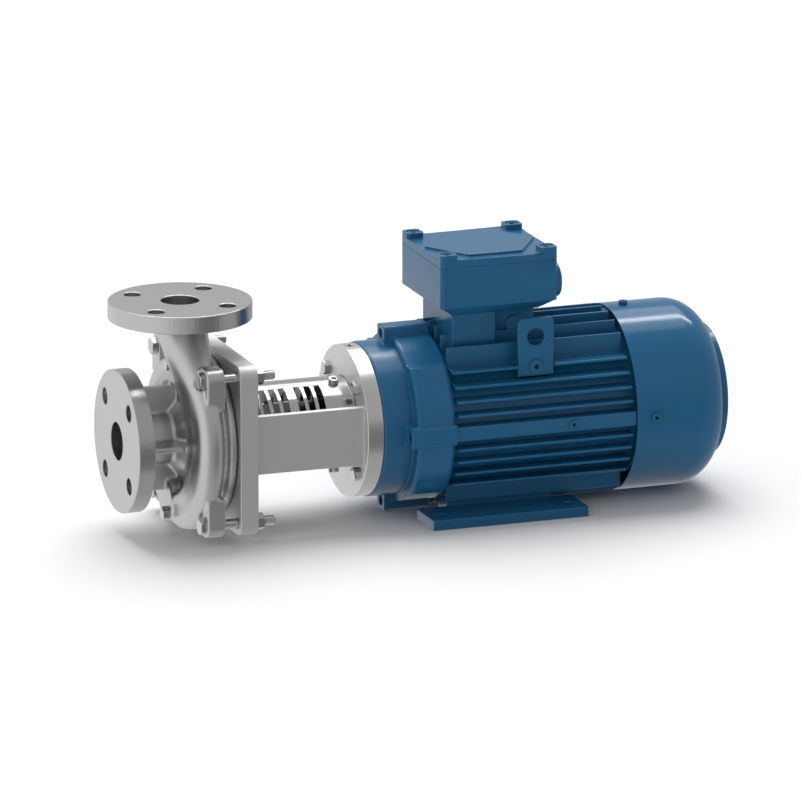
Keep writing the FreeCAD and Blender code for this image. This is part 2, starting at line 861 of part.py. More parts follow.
def make_stub_shaft():
    """The pump's shaft: a socket over the motor shaft, a seal journal and an impeller seat."""
    nose = s.stub_nose / 2
    seat = s.impeller_bore / 2
    journal = s.stub_seal / 2
    socket = s.stub_socket / 2
    bore = s.motor_shaft / 2 + s.fit
    nose_front = impeller_face - s.hub_nose - s.nut_height - 1.5
    seat_front = impeller_face - s.hub_nose
    shoulder = hub_rear
    socket_front = motor_face - s.motor_shaft_end - 6
    socket_rear = motor_face - 11
    bore_front = motor_face - s.motor_shaft_end - 3
    shaft = turned_shape([
        (nose_front, 0), (nose_front, nose - 1), (nose_front + 1, nose), (seat_front + 1, nose),
        (seat_front + 1, seat), (shoulder, seat), (shoulder, journal), (plate_rear + 20, journal),
        (plate_rear + 22, journal + 2), (socket_front - 12, journal + 2), (socket_front, socket),
        (socket_rear - 1, socket), (socket_rear, socket - 1), (socket_rear, bore), (bore_front, bore),
        (bore_front, 0)])
    key_low = V(float(seat_front) + 3, -2.5, float(seat) - 3)
    key = box_shape(key_low, V(float(shoulder) - 3, 2.5, float(seat) + 1))
    slot_low = V(float(bore_front), -4, float(bore) - 2)
    slot = box_shape(slot_low, V(float(socket_rear) + 1, 4, float(bore) + 3.3))
    keep_shape("stub_shaft", shaft.cut(key).cut(slot))
    shorter = box_shape(V(float(seat_front) + 3, -2.5, float(seat) - 3),
                        V(float(shoulder) - 3, 2.5, float(seat) + 2))
    keep_shape("impeller_key", shorter)
    hollow = rod(s.stub_nose / 2 + s.fit, s.nut_height + 2, seat_front - s.nut_height - 1, NONE, NONE)
    nut = hexagon(s.nut_hex, s.nut_height, seat_front - s.nut_height, NONE, NONE)
    keep("impeller_nut", cut(nut, hollow))


def make_clamp():
    """The split clamp ring that grips the socket on the motor shaft, with its screws."""
    body = new_body()
    inner = s.stub_socket / 2 + s.fit
    rear = motor_face - 20
    front = rear - s.clamp_width
    outer = s.clamp_od / 2
    turn(body, [(front, inner), (front, outer - 1), (front + 1, outer), (rear - 1, outer),
                (rear, outer - 1), (rear, inner)])
    drill(body, rear, s.clamp_width, s.guard_screw / 2, s.clamp_pcd / 2, QUARTERS)
    keep("clamp_ring", body)
    screws = []
    for angle in QUARTERS:
        y, z = around(s.clamp_pcd / 2, angle)
        head = rod(s.guard_screw * 0.85, s.guard_screw, front - s.guard_screw, y, z)
        shank = rod(s.guard_screw / 2 - s.fit, s.clamp_width - 1, front, y, z)
        screws.append(fused([head, shank]))
    keep("clamp_screws", group(screws))


# Lantern and its guard


def make_lantern():
    """One casting: square plate, two flat side walls and the round motor disc."""
    body = new_body()
    half = s.plate_side / 2
    sketch = new_sketch(body, "YZ_Plane", plate_front)
    add_outline(sketch, [(-half, -half), (half, -half), (half, half), (-half, half)])
    plate = extrude(body, sketch, s.plate_thick)
    round_edges(body, plate, s.plate_corner, lambda edge: runs_along(edge, V(1, 0, 0)))
    low = s.wall_height / -2
    high = s.wall_height / 2
    sketch = new_sketch(body, "YZ_Plane", plate_rear)
    for side in (-1, 1):
        near = s.wall_side * side
        far = (s.wall_side - s.wall_thick) * side
        add_outline(sketch, [(near, low), (far, low), (far, high), (near, high)])
    extrude(body, sketch, disc_front - plate_rear)
    sketch = new_sketch(body, "YZ_Plane", disc_front)
    add_circle(sketch, NONE, NONE, s.face_od / 2)
    extrude(body, sketch, s.disc_thick)
    bore = s.lantern_bore / 2
    lip = s.guard_od / 2 - s.guard_thick - s.running
    register = s.register_od / 2 + s.fit
    turn(body, [(disc_front - s.guard_lip, bore), (disc_front - s.guard_lip, lip),
                (disc_front + 2, lip), (disc_front + 2, bore)])
    spigot = s.face_spigot / 2 + s.fit
    turn(body, [(disc_front - s.guard_lip - 1, 0), (disc_front - s.guard_lip - 1, bore),
                (motor_face - s.spigot_length - 1, bore), (motor_face - s.spigot_length - 1, spigot),
                (motor_face + 1, spigot), (motor_face + 1, 0)], "PartDesign::Groove")
    guard = s.guard_od / 2 + s.running
    turn(body, [(plate_front - 1, 0), (plate_front - 1, register), (seal_wall + 1, register),
                (seal_wall + 1, bore), (plate_rear - s.guard_seat, bore),
                (plate_rear - s.guard_seat, guard), (plate_rear + 1, guard), (plate_rear + 1, 0)],
         "PartDesign::Groove")
    clear = s.face_screw / 2 + 0.5
    drill(body, motor_face, s.disc_thick, clear, s.face_pcd / 2, QUARTERS)
    sketch = new_sketch(body, "YZ_Plane", plate_rear)
    bolt = s.joint_bolt_pitch / 2
    for side in (-1, 1):
        for level in (-1, 1):
            add_circle(sketch, bolt * side, bolt * level, s.joint_bolt / 2 + 0.5)
    extrude(body, sketch, s.plate_thick, "PartDesign::Pocket")
    sketch = new_sketch(body, "XY_Plane", s.face_od / 2)
    add_circle(sketch, disc_front + s.disc_thick / 2, NONE, s.grease_hole / 2)
    extrude(body, sketch, s.face_od / 2 - s.face_spigot / 2 - 4, "PartDesign::Pocket")
    threads = []
    for lean in (s.guard_screw_angle.number, 180 - s.guard_screw_angle.number):
        turned = FreeCAD.Rotation(V(1, 0, 0), lean)
        thread_x = disc_front - s.guard_screw_back
        threads.append(rod(s.guard_screw / 2 + s.fit, s.guard_od / 2, thread_x, NONE, NONE, turned))
    keep("lantern", cut(body, fused(threads)))


def guard_screw_way(level):
    """The way out from the shaft along a guard screw, above or below."""
    lean = math.radians(float(s.guard_screw_angle))
    return V(0, -math.sin(lean), level * math.cos(lean))


def make_guards():
    """Two slotted half shells of sheet close the lantern's windows."""
    outer = float(s.guard_od) / 2
    inner = outer - float(s.guard_thick)
    front = float(plate_rear - s.guard_seat)
    rear = float(disc_front - s.guard_gap)
    length = rear - front
    tube = Part.makeCylinder(outer, length, V(front, 0, 0), V(1, 0, 0))
    tube = tube.cut(Part.makeCylinder(inner, length, V(front, 0, 0), V(1, 0, 0)))
    arc = float(s.guard_slot_arc)
    for step in range(7):
        start = plate_rear + s.guard_slot_x + s.guard_slot_pitch * step
        if step > 3:
            start += s.guard_slot_break
        end = start + s.guard_slot
        slot = turned_shape([(start, inner - 1), (start, outer + 1), (end, outer + 1), (end, inner - 1)], arc)
        slot.rotate(V(0, 0, 0), V(1, 0, 0), float(s.guard_slot_start))
        for one in (slot, slot.mirror(V(0, 0, 0), V(0, 1, 0))):
            tube = tube.cut(one).cut(one.mirror(V(0, 0, 0), V(0, 0, 1)))
    screw_x = float(disc_front - s.guard_screw_back)
    edge = float(s.guard_edge)
    top = tube.common(box_shape(V(front, -outer, edge), V(rear, outer, outer)))
    screw_r = float(s.guard_screw) / 2
    for label, level in (("guard_top", 1), ("guard_bottom", -1)):
        shell = top.copy()
        if level < 0:
            shell = shell.mirror(V(0, 0, 0), V(0, 0, 1))
        way = guard_screw_way(level)
        shell = shell.cut(Part.makeCylinder(screw_r + 0.2, outer, V(screw_x, 0, 0) + way * (inner - 5), way))
        keep_shape(label, shell)


def make_guard_screws():
    screws = []
    screw_x = float(disc_front - s.guard_screw_back)
    outer = float(s.guard_od) / 2
    radius = float(s.guard_screw) / 2
    head = radius * 2.2
    for level in (-1, 1):
        way = guard_screw_way(level)
        seat = V(screw_x, 0, 0) + way * outer
        solid = Part.makeCylinder(head, radius * 2, seat, way)
        socket = Part.makeCylinder(radius, radius, seat + way * radius, way)
        shank = Part.makeCylinder(radius, 5, seat + way * -4, way)
        screws.append(solid.cut(socket).fuse(shank))
    keep_shape("guard_screws", Part.makeCompound(screws))


def make_lantern_bolts():
    """Four hexagon bolts from the lantern's disc into the motor's face."""
    bolts = []
    for angle in QUARTERS:
        y, z = around(s.face_pcd / 2, angle)
        head = hexagon(s.small_hex, s.small_head, disc_front - s.small_head, y, z)
        shank = rod(s.face_screw / 2 - s.fit, s.disc_thick + 12, disc_front, y, z)
        bolts.append(fused([head, shank]))
    keep("lantern_bolts", group(bolts))


# Motor

front_bearing = motor_face + s.front_bearing_x
rear_bearing = frame_rear - s.rear_bearing_width / 2


def make_front_shield():
    """Drive-end shield: machined face, bearing hub, side bands and four screw lugs."""
    outer = s.shield_od / 2
    inner = outer - s.shield_wall
    spigot = s.face_spigot / 2
    hub = s.front_bearing_od / 2 + 8
    seat = s.front_bearing_od / 2 + s.fit
    clear = s.front_seat / 2 + 0.5
    face_in = motor_face + s.shield_face
    bearing_rear = front_bearing + s.front_bearing_width
    register = s.frame_bore / 2 - s.fit
    shell = turned_shape([
        (motor_face - s.spigot_length, clear), (motor_face - s.spigot_length, spigot),
        (motor_face, spigot), (motor_face, s.face_od / 2), (motor_face + 1.5, outer),
        (frame_front, outer), (frame_front, register), (frame_front + 5, register),
        (frame_front + 5, register - 4), (frame_front - 4, register - 4), (frame_front - 8, inner - 4),
        (face_in, inner - 8), (face_in, hub + 4),
        (bearing_rear, hub), (bearing_rear, seat), (front_bearing, seat), (front_bearing, clear)])
    band_front = float(motor_face + s.shield_band_x)
    band_rear = float(frame_front)
    band_in = float(outer) - float(s.shield_wall) / 2
    band_out = float(s.shield_band_od) / 2
    step_out = float(s.shield_step_od) / 2
    step = turned_shape([(band_front, band_in), (band_front, step_out - 2), (band_front + 2, step_out),
                         (band_rear, step_out), (band_rear, band_in)])
    band = turned_shape([(band_front, band_in), (band_front, band_out - 2), (band_front + 2, band_out),
                         (band_rear - 5, band_out), (band_rear, band_out - 4), (band_rear, band_in)])
    half = float(s.shield_band_height) / 2
    band = band.common(box_shape(V(band_front, -2 * band_out, -half), V(band_rear, 2 * band_out, half)))
    lug_x = float(motor_face + s.shield_lug_x)
    lug_half = float(s.shield_lug_width) / 2
    reach = float(s.shield_lug_radius)
    solids = [step, band]
    for angle in CLOCK:
        lug = box_shape(V(lug_x, -lug_half, band_in), V(band_rear, lug_half, reach))
        far_edges = [edge for edge in lug.Edges if edge.CenterOfMass.z > reach - 1
                     and abs(edge.CenterOfMass.y) > lug_half - 1]
        lug = lug.makeFillet(3, far_edges)
        lug.rotate(V(0, 0, 0), V(1, 0, 0), math.degrees(angle))
        solids.append(lug)
    shield = shell.multiFuse(solids)
    for angle in QUARTERS:
        y, z = around(float(s.face_pcd) / 2, angle)
        mouth = V(float(motor_face) - 1, y, z)
        shield = shield.cut(Part.makeCylinder(float(s.face_screw) / 2, 14, mouth, V(1, 0, 0)))
    screw_ring = reach - 9
    for angle in CLOCK:
        y, z = around(screw_ring, angle)
        shield = shield.cut(Part.makeCylinder(5.2, 12, V(lug_x - 1, y, z), V(1, 0, 0)))
        shield = shield.cut(Part.makeCylinder(3.2, 100, V(lug_x - 1, y, z), V(1, 0, 0)))
    return keep_shape("drive_end_shield", shield)


def make_shield_screws(label, head_x, length, ring):
    """Four socket-head screws that hold an end shield to the frame."""
    screws = []
    for angle in CLOCK:
        y, z = around(ring, angle)
        head = rod(Size(4.9, "4.9"), Size(6, "6"), head_x, y, z)
        shank = rod(Size(3, "3"), length, head_x + 1, y, z)
        socket = hexagon(Size(5, "5"), Size(3, "3"), head_x - 0.5, y, z)
        screws.append(cut(fused([head, shank]), socket))
    keep(label, group(screws))


def fin_shape(place, root, reach, half_root, half_tip, front, length):
    """A straight cooling fin across Y at height place, tapered from root to tip."""
    points = [V(front, root, place - half_root), V(front, reach, place - half_tip),
              V(front, reach, place + half_tip), V(front, root, place + half_root)]
    return prism_shape(points, V(length, 0, 0))


def make_frame():
    """The ribbed stator frame with its screw pads, side bands, foot pads, neck and lifting tab."""
    front = float(frame_front)
    length = float(s.frame_length)
    rear = front + length
    bore = float(s.frame_bore) / 2
    outer = bore + float(s.frame_wall)
    tube = Part.makeCylinder(outer, length, V(front, 0, 0), V(1, 0, 0))
    solids = []
    fin_front = front + 3
    fin_length = length - float(s.cowl_overlap) - 6
    half_root = float(s.fin_root) / 2
    half_tip = float(s.fin_tip) / 2
    side_reach = float(s.fin_side_radius)
    top_reach = float(s.fin_top_radius)
    levels = [float(s.fin_first) + float(s.fin_pitch) * step for step in range(4)]
    for level in levels:
        reach = math.sqrt(side_reach ** 2 - level ** 2)
        root = math.sqrt(outer ** 2 - level ** 2) - 3
        fin = fin_shape(level, root, reach, half_root, half_tip, fin_front, fin_length)
        solids.append(fin)
    places = [0.0] + [float(s.fin_top_pitch) * step for step in range(1, 4)]
    for place in places:
        reach = math.sqrt(top_reach ** 2 - place ** 2)
        root = math.sqrt(outer ** 2 - place ** 2) - 3
        fin = fin_shape(place, root, reach, half_root, half_tip, fin_front, fin_length)
        fin.rotate(V(0, 0, 0), V(1, 0, 0), 90)
        solids.append(fin)
    solids += [solid.mirror(V(0, 0, 0), V(0, 1, 0)) for solid in solids]
    solids += [solid.mirror(V(0, 0, 0), V(0, 0, 1)) for solid in solids]
    pad_x = float(s.pedestal_shift - s.pedestal_length / 2)
    pad_end = pad_x + float(s.pedestal_length)
    pad_low = -float(s.pedestal_top)
    lowest = pad_low - 12
    under = box_shape(V(front, -100, -110), V(rear, 100, lowest))
    beside = box_shape(V(front, -51.5, -110), V(pad_end + 2, 51.5, pad_low))
    middle = box_shape(V(front, -20.5, -110), V(pad_end + 2, 20.5, pad_low))
    beside = beside.cut(middle)
    solids = [solid.cut(under).cut(beside) for solid in solids]
    band_half = float(s.band_height) / 2
    for side in (-1, 1):
        low = min(side * (outer - 3), side * float(s.band_side))
        high = max(side * (outer - 3), side * float(s.band_side))
        band_rear = rear - float(s.cowl_overlap) - 1
        solids.append(box_shape(V(front, low, -band_half), V(band_rear, high, band_half)))
    for side in (-1, 1):
        near = float(s.pedestal_side)
        far = near + float(s.pedestal_width)
        low = min(side * near, side * far)
        pad_high = V(pad_end, low + far - near, pad_low + 22)
        solids.append(box_shape(V(max(pad_x, front), low, pad_low), pad_high))
    neck_front = float(motor_face + s.neck_shift)
    neck_half = float(s.neck_width) / 2
    neck_end = neck_front + float(s.neck_length)
    neck_top = float(s.box_floor - s.box_skirt)
    step_x = float(motor_face + s.neck_step_x)
    step_y = float(s.neck_step) - neck_half
    solids.append(box_shape(V(neck_front, -neck_half, 60), V(step_x, neck_half, neck_top)))
    solids.append(box_shape(V(step_x - 1, step_y, 60), V(neck_end, neck_half, neck_top)))
    entry = V((step_x + neck_end) / 2, step_y - 3, neck_top - float(s.neck_entry))
    solids.append(Part.makeCylinder(float(s.neck_entry) / 2, 5, entry, V(0, 1, 0)))
    tab_x = float(motor_face + s.tab_x)
    tab_y = -float(s.tab_side)
    tab_top = float(s.tab_low + s.tab_height)
    tab = box_shape(V(tab_x, tab_y, float(s.tab_low)),
                    V(tab_x + float(s.tab_width), tab_y + float(s.tab_thick), tab_top))
    corners = [edge for edge in tab.Edges if edge.CenterOfMass.z > tab_top - 1
               and abs(edge.CenterOfMass.y - tab_y - float(s.tab_thick) / 2) < 0.1]
    tab = tab.makeFillet(6, corners)
    hole = V(tab_x + float(s.tab_width) / 2, tab_y - 1, tab_top - float(s.tab_hole_drop))
    tab = tab.cut(Part.makeCylinder(float(s.tab_hole) / 2, float(s.tab_thick) + 2, hole, V(0, 1, 0)))
    solids.append(tab)
    # Screw pads for both end shields
    front_ring = float(s.shield_lug_radius) - 9
    rear_ring = float(s.rear_screw_ring)
    for angle in CLOCK:
        for start, end in ((front, front + 16), (rear - 14, rear)):
            pad = box_shape(V(start, -7.5, 70), V(end, 7.5, front_ring + 5.5))
            pad.rotate(V(0, 0, 0), V(1, 0, 0), math.degrees(angle))
            solids.append(pad)
    frame = tube.multiFuse(solids)
    frame = frame.cut(Part.makeCylinder(bore, length + 2, V(front - 1, 0, 0), V(1, 0, 0)))
    for angle in CLOCK:
        for start, ring in ((front - 1, front_ring), (rear - 13, rear_ring)):
            y, z = around(ring, angle)
            frame = frame.cut(Part.makeCylinder(3, 14, V(start, y, z), V(1, 0, 0)))
    window = float(s.neck_width) / 2 - 20
    frame = frame.cut(box_shape(V(neck_front + 12, -window, 0), V(neck_end - 12, window, neck_top + 1)))
    return keep_shape("stator_frame", frame)


def make_foot(label, side):
    """One bolted foot: a long flat bar with a low pedestal under the frame's pad."""
    low = -s.shaft_height
    hole_y = s.foot_hole_y / 2 * side
    middle_y = (s.foot_side - s.foot_width / 2) * side
    bar = block(s.foot_length, s.foot_width, s.foot_thick, s.foot_length / -2, middle_y, low)
    pedestal_y = (s.pedestal_side + s.pedestal_width / 2) * side
    height = s.shaft_height - s.pedestal_top
    front = s.pedestal_shift - s.pedestal_length / 2
    pedestal = block(s.pedestal_length, s.pedestal_width, height, front, pedestal_y, low)
    holes = []
    for end in (-1, 1):
        x = s.foot_hole_x / 2 * end
        holes.append(rod(s.foot_hole / 2, s.foot_thick * 3, x, hole_y, low - s.foot_thick, UPRIGHT))
        screw_x = s.pedestal_shift + s.pedestal_length * 0.3 * end
        holes.append(rod(s.foot_screw / 2 + 0.5, height * 2, screw_x, pedestal_y, low - 1, UPRIGHT))
        holes.append(rod(s.foot_screw, s.foot_screw + 1, screw_x, pedestal_y, low - 1, UPRIGHT))
    return keep(label, cut(fused([bar, pedestal]), fused(holes)))


def make_foot_screws():
    screws = []
    for side in (-1, 1):
        y = (s.pedestal_side + s.pedestal_width / 2) * side
        for end in (-1, 1):
            x = s.pedestal_shift + s.pedestal_length * 0.3 * end
            low = -s.shaft_height + 1
            head = rod(s.foot_screw * 0.8, s.foot_screw - 1, x, y, low, UPRIGHT)
            length = s.shaft_height - s.pedestal_top - 1
            shank = rod(s.foot_screw / 2, length, x, y, low, UPRIGHT)
            screws.append(fused([head, shank]))
    keep("foot_screws", group(screws))


core_middle = s.pedestal_shift + s.core_shift + 5


def make_stator():
    """The laminated stator core and the two end bundles of its winding."""
    front = core_middle - s.core_length / 2
    rear = core_middle + s.core_length / 2
    bore = s.core_bore / 2
    outer = s.frame_bore / 2 - s.fit
    body = new_body()
    turn(body, [(front, bore), (front, outer), (rear, outer), (rear, bore)])
    keep("stator_core", body)
    bundles = []
    inner = float(bore) + 5
    top = float(outer) - 6
    for start in (float(front - s.winding_length), float(rear)):
        end = start + float(s.winding_length)
        ring = turned_shape([(start, inner + 4), (start, top - 4), (start + 4, top), (end - 4, top),
                             (end, top - 4), (end, inner + 4), (end - 4, inner), (start + 4, inner)])
        bundles.append(ring)
    keep_shape("stator_winding", Part.makeCompound(bundles))


def make_rotor():
    """The rotor core with its cast end rings, on the motor's shaft."""
    front = core_middle - s.core_length / 2
    rear = core_middle + s.core_length / 2
    seat = s.rotor_seat / 2
    outer = s.core_bore / 2 - s.air_gap
    body = new_body()
    turn(body, [(front, seat + s.fit), (front, outer), (rear, outer), (rear, seat + s.fit)])
    keep("rotor_core", body)
    rings = []
    for start in (float(front) - 10, float(rear)):
        rings.append(turned_shape([(start, 34), (start, 44), (start + 10, 46), (start + 10, 32)]))
    keep_shape("rotor_end_rings", Part.makeCompound(rings))
    nose = motor_face - s.motor_shaft_end
    end_r = s.motor_shaft / 2
    front_r = s.front_seat / 2
    rear_r = s.rear_seat / 2
    fan_r = s.fan_bore / 2
    front_stop = front_bearing + s.front_bearing_width
    rear_stop = rear_bearing - s.rear_bearing_width / 2
    fan_seat = frame_rear + s.rear_shield_thick + 2
    shaft = turned_shape([
        (nose, 0), (nose, end_r - 1), (nose + 1, end_r), (motor_face, end_r), (motor_face, front_r),
        (front_stop, front_r), (front_stop, front_r + 3), (front - 14, front_r + 3), (front - 14, seat),
        (rear + 14, seat), (rear + 14, rear_r + 3), (rear_stop, rear_r + 3), (rear_stop, rear_r),
        (fan_seat, rear_r), (fan_seat, fan_r), (fan_seat + s.fan_start + 14, fan_r),
        (fan_seat + s.fan_start + 14, 0)])
    key_x = float(nose) + 4
    key = box_shape(V(key_x, -4, float(end_r) - 4), V(key_x + 42, 4, float(end_r) + 3))
    keep_shape("motor_shaft", shaft.cut(key))
    keep_shape("shaft_key", key)


def make_bearing(prefix, middle, bore, outside, width):
    """A deep-groove ball bearing: two grooved races and a ring of balls."""
    wide = float(width)
    low = float(middle) - wide / 2
    high = low + wide
    bore_r = float(bore) / 2
    out_r = float(outside) / 2
    pitch = (bore_r + out_r) / 2
    ball = (out_r - bore_r) * 0.3
    race = (out_r - bore_r) * 0.24
    count = int(s.ball_count.number)
    fit = float(s.fit)
    clear = float(s.running)
    groove = Part.makeTorus(pitch, ball + clear, V(float(middle), 0, 0), V(1, 0, 0))
    for name, inside_r, outside_r in (
            ("_inner_race", bore_r + fit, bore_r + race), ("_outer_race", out_r - race, out_r)):
        ring = turned_shape([(low, inside_r), (low, outside_r), (high, outside_r), (high, inside_r)])
        keep_shape(prefix + name, ring.cut(groove))
    cage_r = ball * 0.45
    cage_half = ball * 0.35
    cage_front = float(middle) - cage_half
    cage_rear = float(middle) + cage_half
    cage = turned_shape([(cage_front, pitch - cage_r), (cage_front, pitch + cage_r),
                         (cage_rear, pitch + cage_r), (cage_rear, pitch - cage_r)])
    balls = []
    for step in range(count):
        y, z = around(pitch, 2 * math.pi * step / count)
        balls.append(Part.makeSphere(ball, V(float(middle), y, z)))
    keep_shape(prefix + "_balls", cage.multiFuse(balls))


def make_rear_shield():
    """Non-drive end shield: register, bearing hub and four lugs that carry the cowl."""
    register = s.frame_bore / 2 - s.fit
    hub = s.rear_bearing_od / 2 + 7
    seat = s.rear_bearing_od / 2 + s.fit
    clear = s.rear_seat / 2 + 0.5
    rear = frame_rear + s.rear_shield_thick
    inside = rear_bearing - s.rear_bearing_width / 2
    seat_end = rear_bearing + s.rear_bearing_width / 2 + 2
    outer = s.frame_bore / 2 + s.frame_wall
    shell = turned_shape([
        (inside, seat), (inside, hub), (frame_rear, hub + 2), (frame_rear, register - 6),
        (frame_rear - 5, register - 6), (frame_rear - 5, register), (frame_rear, register),
        (frame_rear, outer), (rear, outer), (rear, clear), (seat_end, clear), (seat_end, seat)])
    solids = []
    tip = float(s.cowl_od) / 2 - float(s.cowl_sheet) - float(s.fit)
    for angle in CLOCK:
        lug = box_shape(V(float(frame_rear), -11, 70), V(float(rear) + 8, 11, tip + 3))
        lug.rotate(V(0, 0, 0), V(1, 0, 0), math.degrees(angle))
        solids.append(lug)
    shield = shell.multiFuse(solids)
    limit = Part.makeCylinder(tip, 200, V(float(inside) - 20, 0, 0), V(1, 0, 0))
    shield = shield.common(limit)
    ring = float(s.rear_screw_ring)
    screw_x = float(cowl_front + s.cowl_screw_x)
    for angle in CLOCK:
        y, z = around(ring, angle)
        shield = shield.cut(Part.makeCylinder(3.2, 60, V(float(frame_rear) - 1, y, z), V(1, 0, 0)))
        shield = shield.cut(Part.makeCylinder(5.2, 20, V(float(rear) - 4, y, z), V(1, 0, 0)))
        y, z = around(tip + 1, angle)
        inward = V(0, -math.cos(angle), -math.sin(angle))
        shield = shield.cut(Part.makeCylinder(2.5, 4, V(screw_x, y, z), inward))
    keep_shape("rear_end_shield", shield)
    body = new_body()
    wave_front = rear_bearing + s.rear_bearing_width / 2 + 0.1
    turn(body, [(wave_front, seat - 6), (wave_front, seat - 0.5), (wave_front + 1.8, seat - 0.5),
                (wave_front + 1.8, seat - 6)])
    keep("wave_washer", body)


def make_rear_screws():
    """Four screws that hold the rear shield to the frame, entered from behind."""
    screws = []
    ring = s.rear_screw_ring
    seat_x = frame_rear + s.rear_shield_thick - 4
    for angle in CLOCK:
        y, z = around(ring, angle)
        head = rod(Size(4.9, "4.9"), Size(6, "6"), seat_x, y, z)
        shank = rod(Size(3, "3"), Size(20, "20"), seat_x - 19, y, z)
        screws.append(fused([head, shank]))
    keep("rear_shield_screws", group(screws))


def make_fan():
    """The cooling fan: hub, back plate and straight radial blades."""
    start = frame_rear + s.rear_shield_thick + 4
    hub_end = start + 26
    bore = s.fan_bore / 2 + s.fit
    outer = s.fan_od / 2
    hub = turned_shape([(start, bore), (start, 17), (start + 2, 17), (start + 2, outer - 22),
                        (start + 5, outer - 22), (start + 5, 19), (hub_end, 17), (hub_end, bore)])
    blades = []
    count = int(s.fan_blades.number)
    for step in range(count):
        points = [V(float(start) + 3, -1.2, 17.5), V(float(start + s.fan_width), -1.2, 30),
                  V(float(start + s.fan_width), -1.2, float(outer)), V(float(start) + 6, -1.2, float(outer)),
                  V(float(start) + 3, -1.2, float(outer) - 22)]
        blade = prism_shape(points, V(0, 2.4, 0))
        blade.rotate(V(0, 0, 0), V(1, 0, 0), 360.0 * step / count + 22.5)
        blades.append(blade)
    keep_shape("cooling_fan", hub.multiFuse(blades))
    body = new_body()
    clip = hub_end + 0.2
    turn(body, [(clip, bore), (clip, bore + 4), (clip + 1.2, bore + 4), (clip + 1.2, bore)])
    keep("fan_circlip", body)


def make_cowl():
    """The pressed fan cowl, its open mouth closed by a ring grille."""
    outer = float(s.cowl_od) / 2
    sheet_thick = float(s.cowl_sheet)
    front = float(cowl_front)
    rear = front + float(s.cowl_length)
    corner = float(s.cowl_corner)
    mouth = float(s.cowl_mouth) / 2

    def bowl(shrink):
        side = outer - shrink
        back = rear - shrink
        bend = corner - shrink
        middle = V(back - bend, 0, side - bend)
        start = V(back - bend, 0, side)
        end = V(back, 0, side - bend)
        half_way = middle + V(bend, 0, bend) * math.sqrt(0.5)
        edges = [Part.makeLine(V(front - shrink, 0, 0), V(front - shrink, 0, side)),
                 Part.makeLine(V(front - shrink, 0, side), start),
                 Part.Arc(start, half_way, end).toShape(),
                 Part.makeLine(end, V(back, 0, 0)),
                 Part.makeLine(V(back, 0, 0), V(front - shrink, 0, 0))]
        return right_way_out(Part.Face(Part.Wire(edges)).revolve(V(0, 0, 0), V(1, 0, 0), 360))

    cowl = bowl(0).cut(bowl(sheet_thick))
    cowl = cowl.cut(Part.makeCylinder(mouth, 60, V(rear - 30, 0, 0), V(1, 0, 0)))
    screw_x = front + float(s.cowl_screw_x)
    for angle in CLOCK:
        way = V(0, math.cos(angle), math.sin(angle))
        cowl = cowl.cut(Part.makeCylinder(2.8, 10, V(screw_x, 0, 0) + way * (outer - 5), way))
    keep_shape("fan_cowl", cowl)

    face = rear + 1.0
    thick = float(s.grille_thick)
    rim_out = mouth + 1
    on_corner = rear - corner + float(s.fit)
    lip = on_corner + math.sqrt(corner ** 2 - (mouth - outer + corner) ** 2)
    rim_back = on_corner + math.sqrt(corner ** 2 - (rim_out - outer + corner) ** 2)
    rings = [turned_shape([(lip, mouth - 6), (lip, mouth), (rim_back, rim_out),
                           (face + thick - 1, rim_out), (face + thick, rim_out - 1),
                           (face + thick, mouth - 6)])]
    pitch = 9.0
    for step in range(1, 7):
        middle = mouth - 6 - pitch * step
        rings.append(turned_shape([(face, middle), (face, middle + 4), (face + thick, middle + 4),
                                   (face + thick, middle)]))
    hub = Part.makeCylinder(12, thick, V(face, 0, 0), V(1, 0, 0))
    bars = []
    for step in range(4):
        bar = box_shape(V(face, -2, -mouth + 3), V(face + thick - 0.5, 2, mouth - 3))
        bar.rotate(V(0, 0, 0), V(1, 0, 0), 45.0 * step)
        bars.append(bar)
    keep_shape("cowl_grille", hub.multiFuse(rings + bars))

    screws = []
    for angle in CLOCK:
        way = V(0, math.cos(angle), math.sin(angle))
        seat = V(screw_x, 0, 0) + way * outer
        head = Part.makeCylinder(4.8, 3.6, seat, way)
        socket = Part.makeCylinder(2, 1.6, seat + way * 2, way)
        shank = Part.makeCylinder(2.4, 4.5, seat - way * 4.2, way)
        screws.append(head.cut(socket).fuse(shank))
    keep_shape("cowl_screws", Part.makeCompound(screws))


# Terminal box

box_front = motor_face + s.box_shift
box_top = s.box_floor + s.box_height
cover_top = box_top + s.cover_height


def boss_places():
    """The four cover screws, as (x, y) pairs."""
    half_boss = float(s.cover_boss) / 2
    low_x = float(box_front) + half_boss
    high_x = float(box_front + s.box_length) - half_boss
    side = float(s.box_width) / 2 - half_boss
    return [(x, y) for x in (low_x, high_x) for y in (-side, side)]


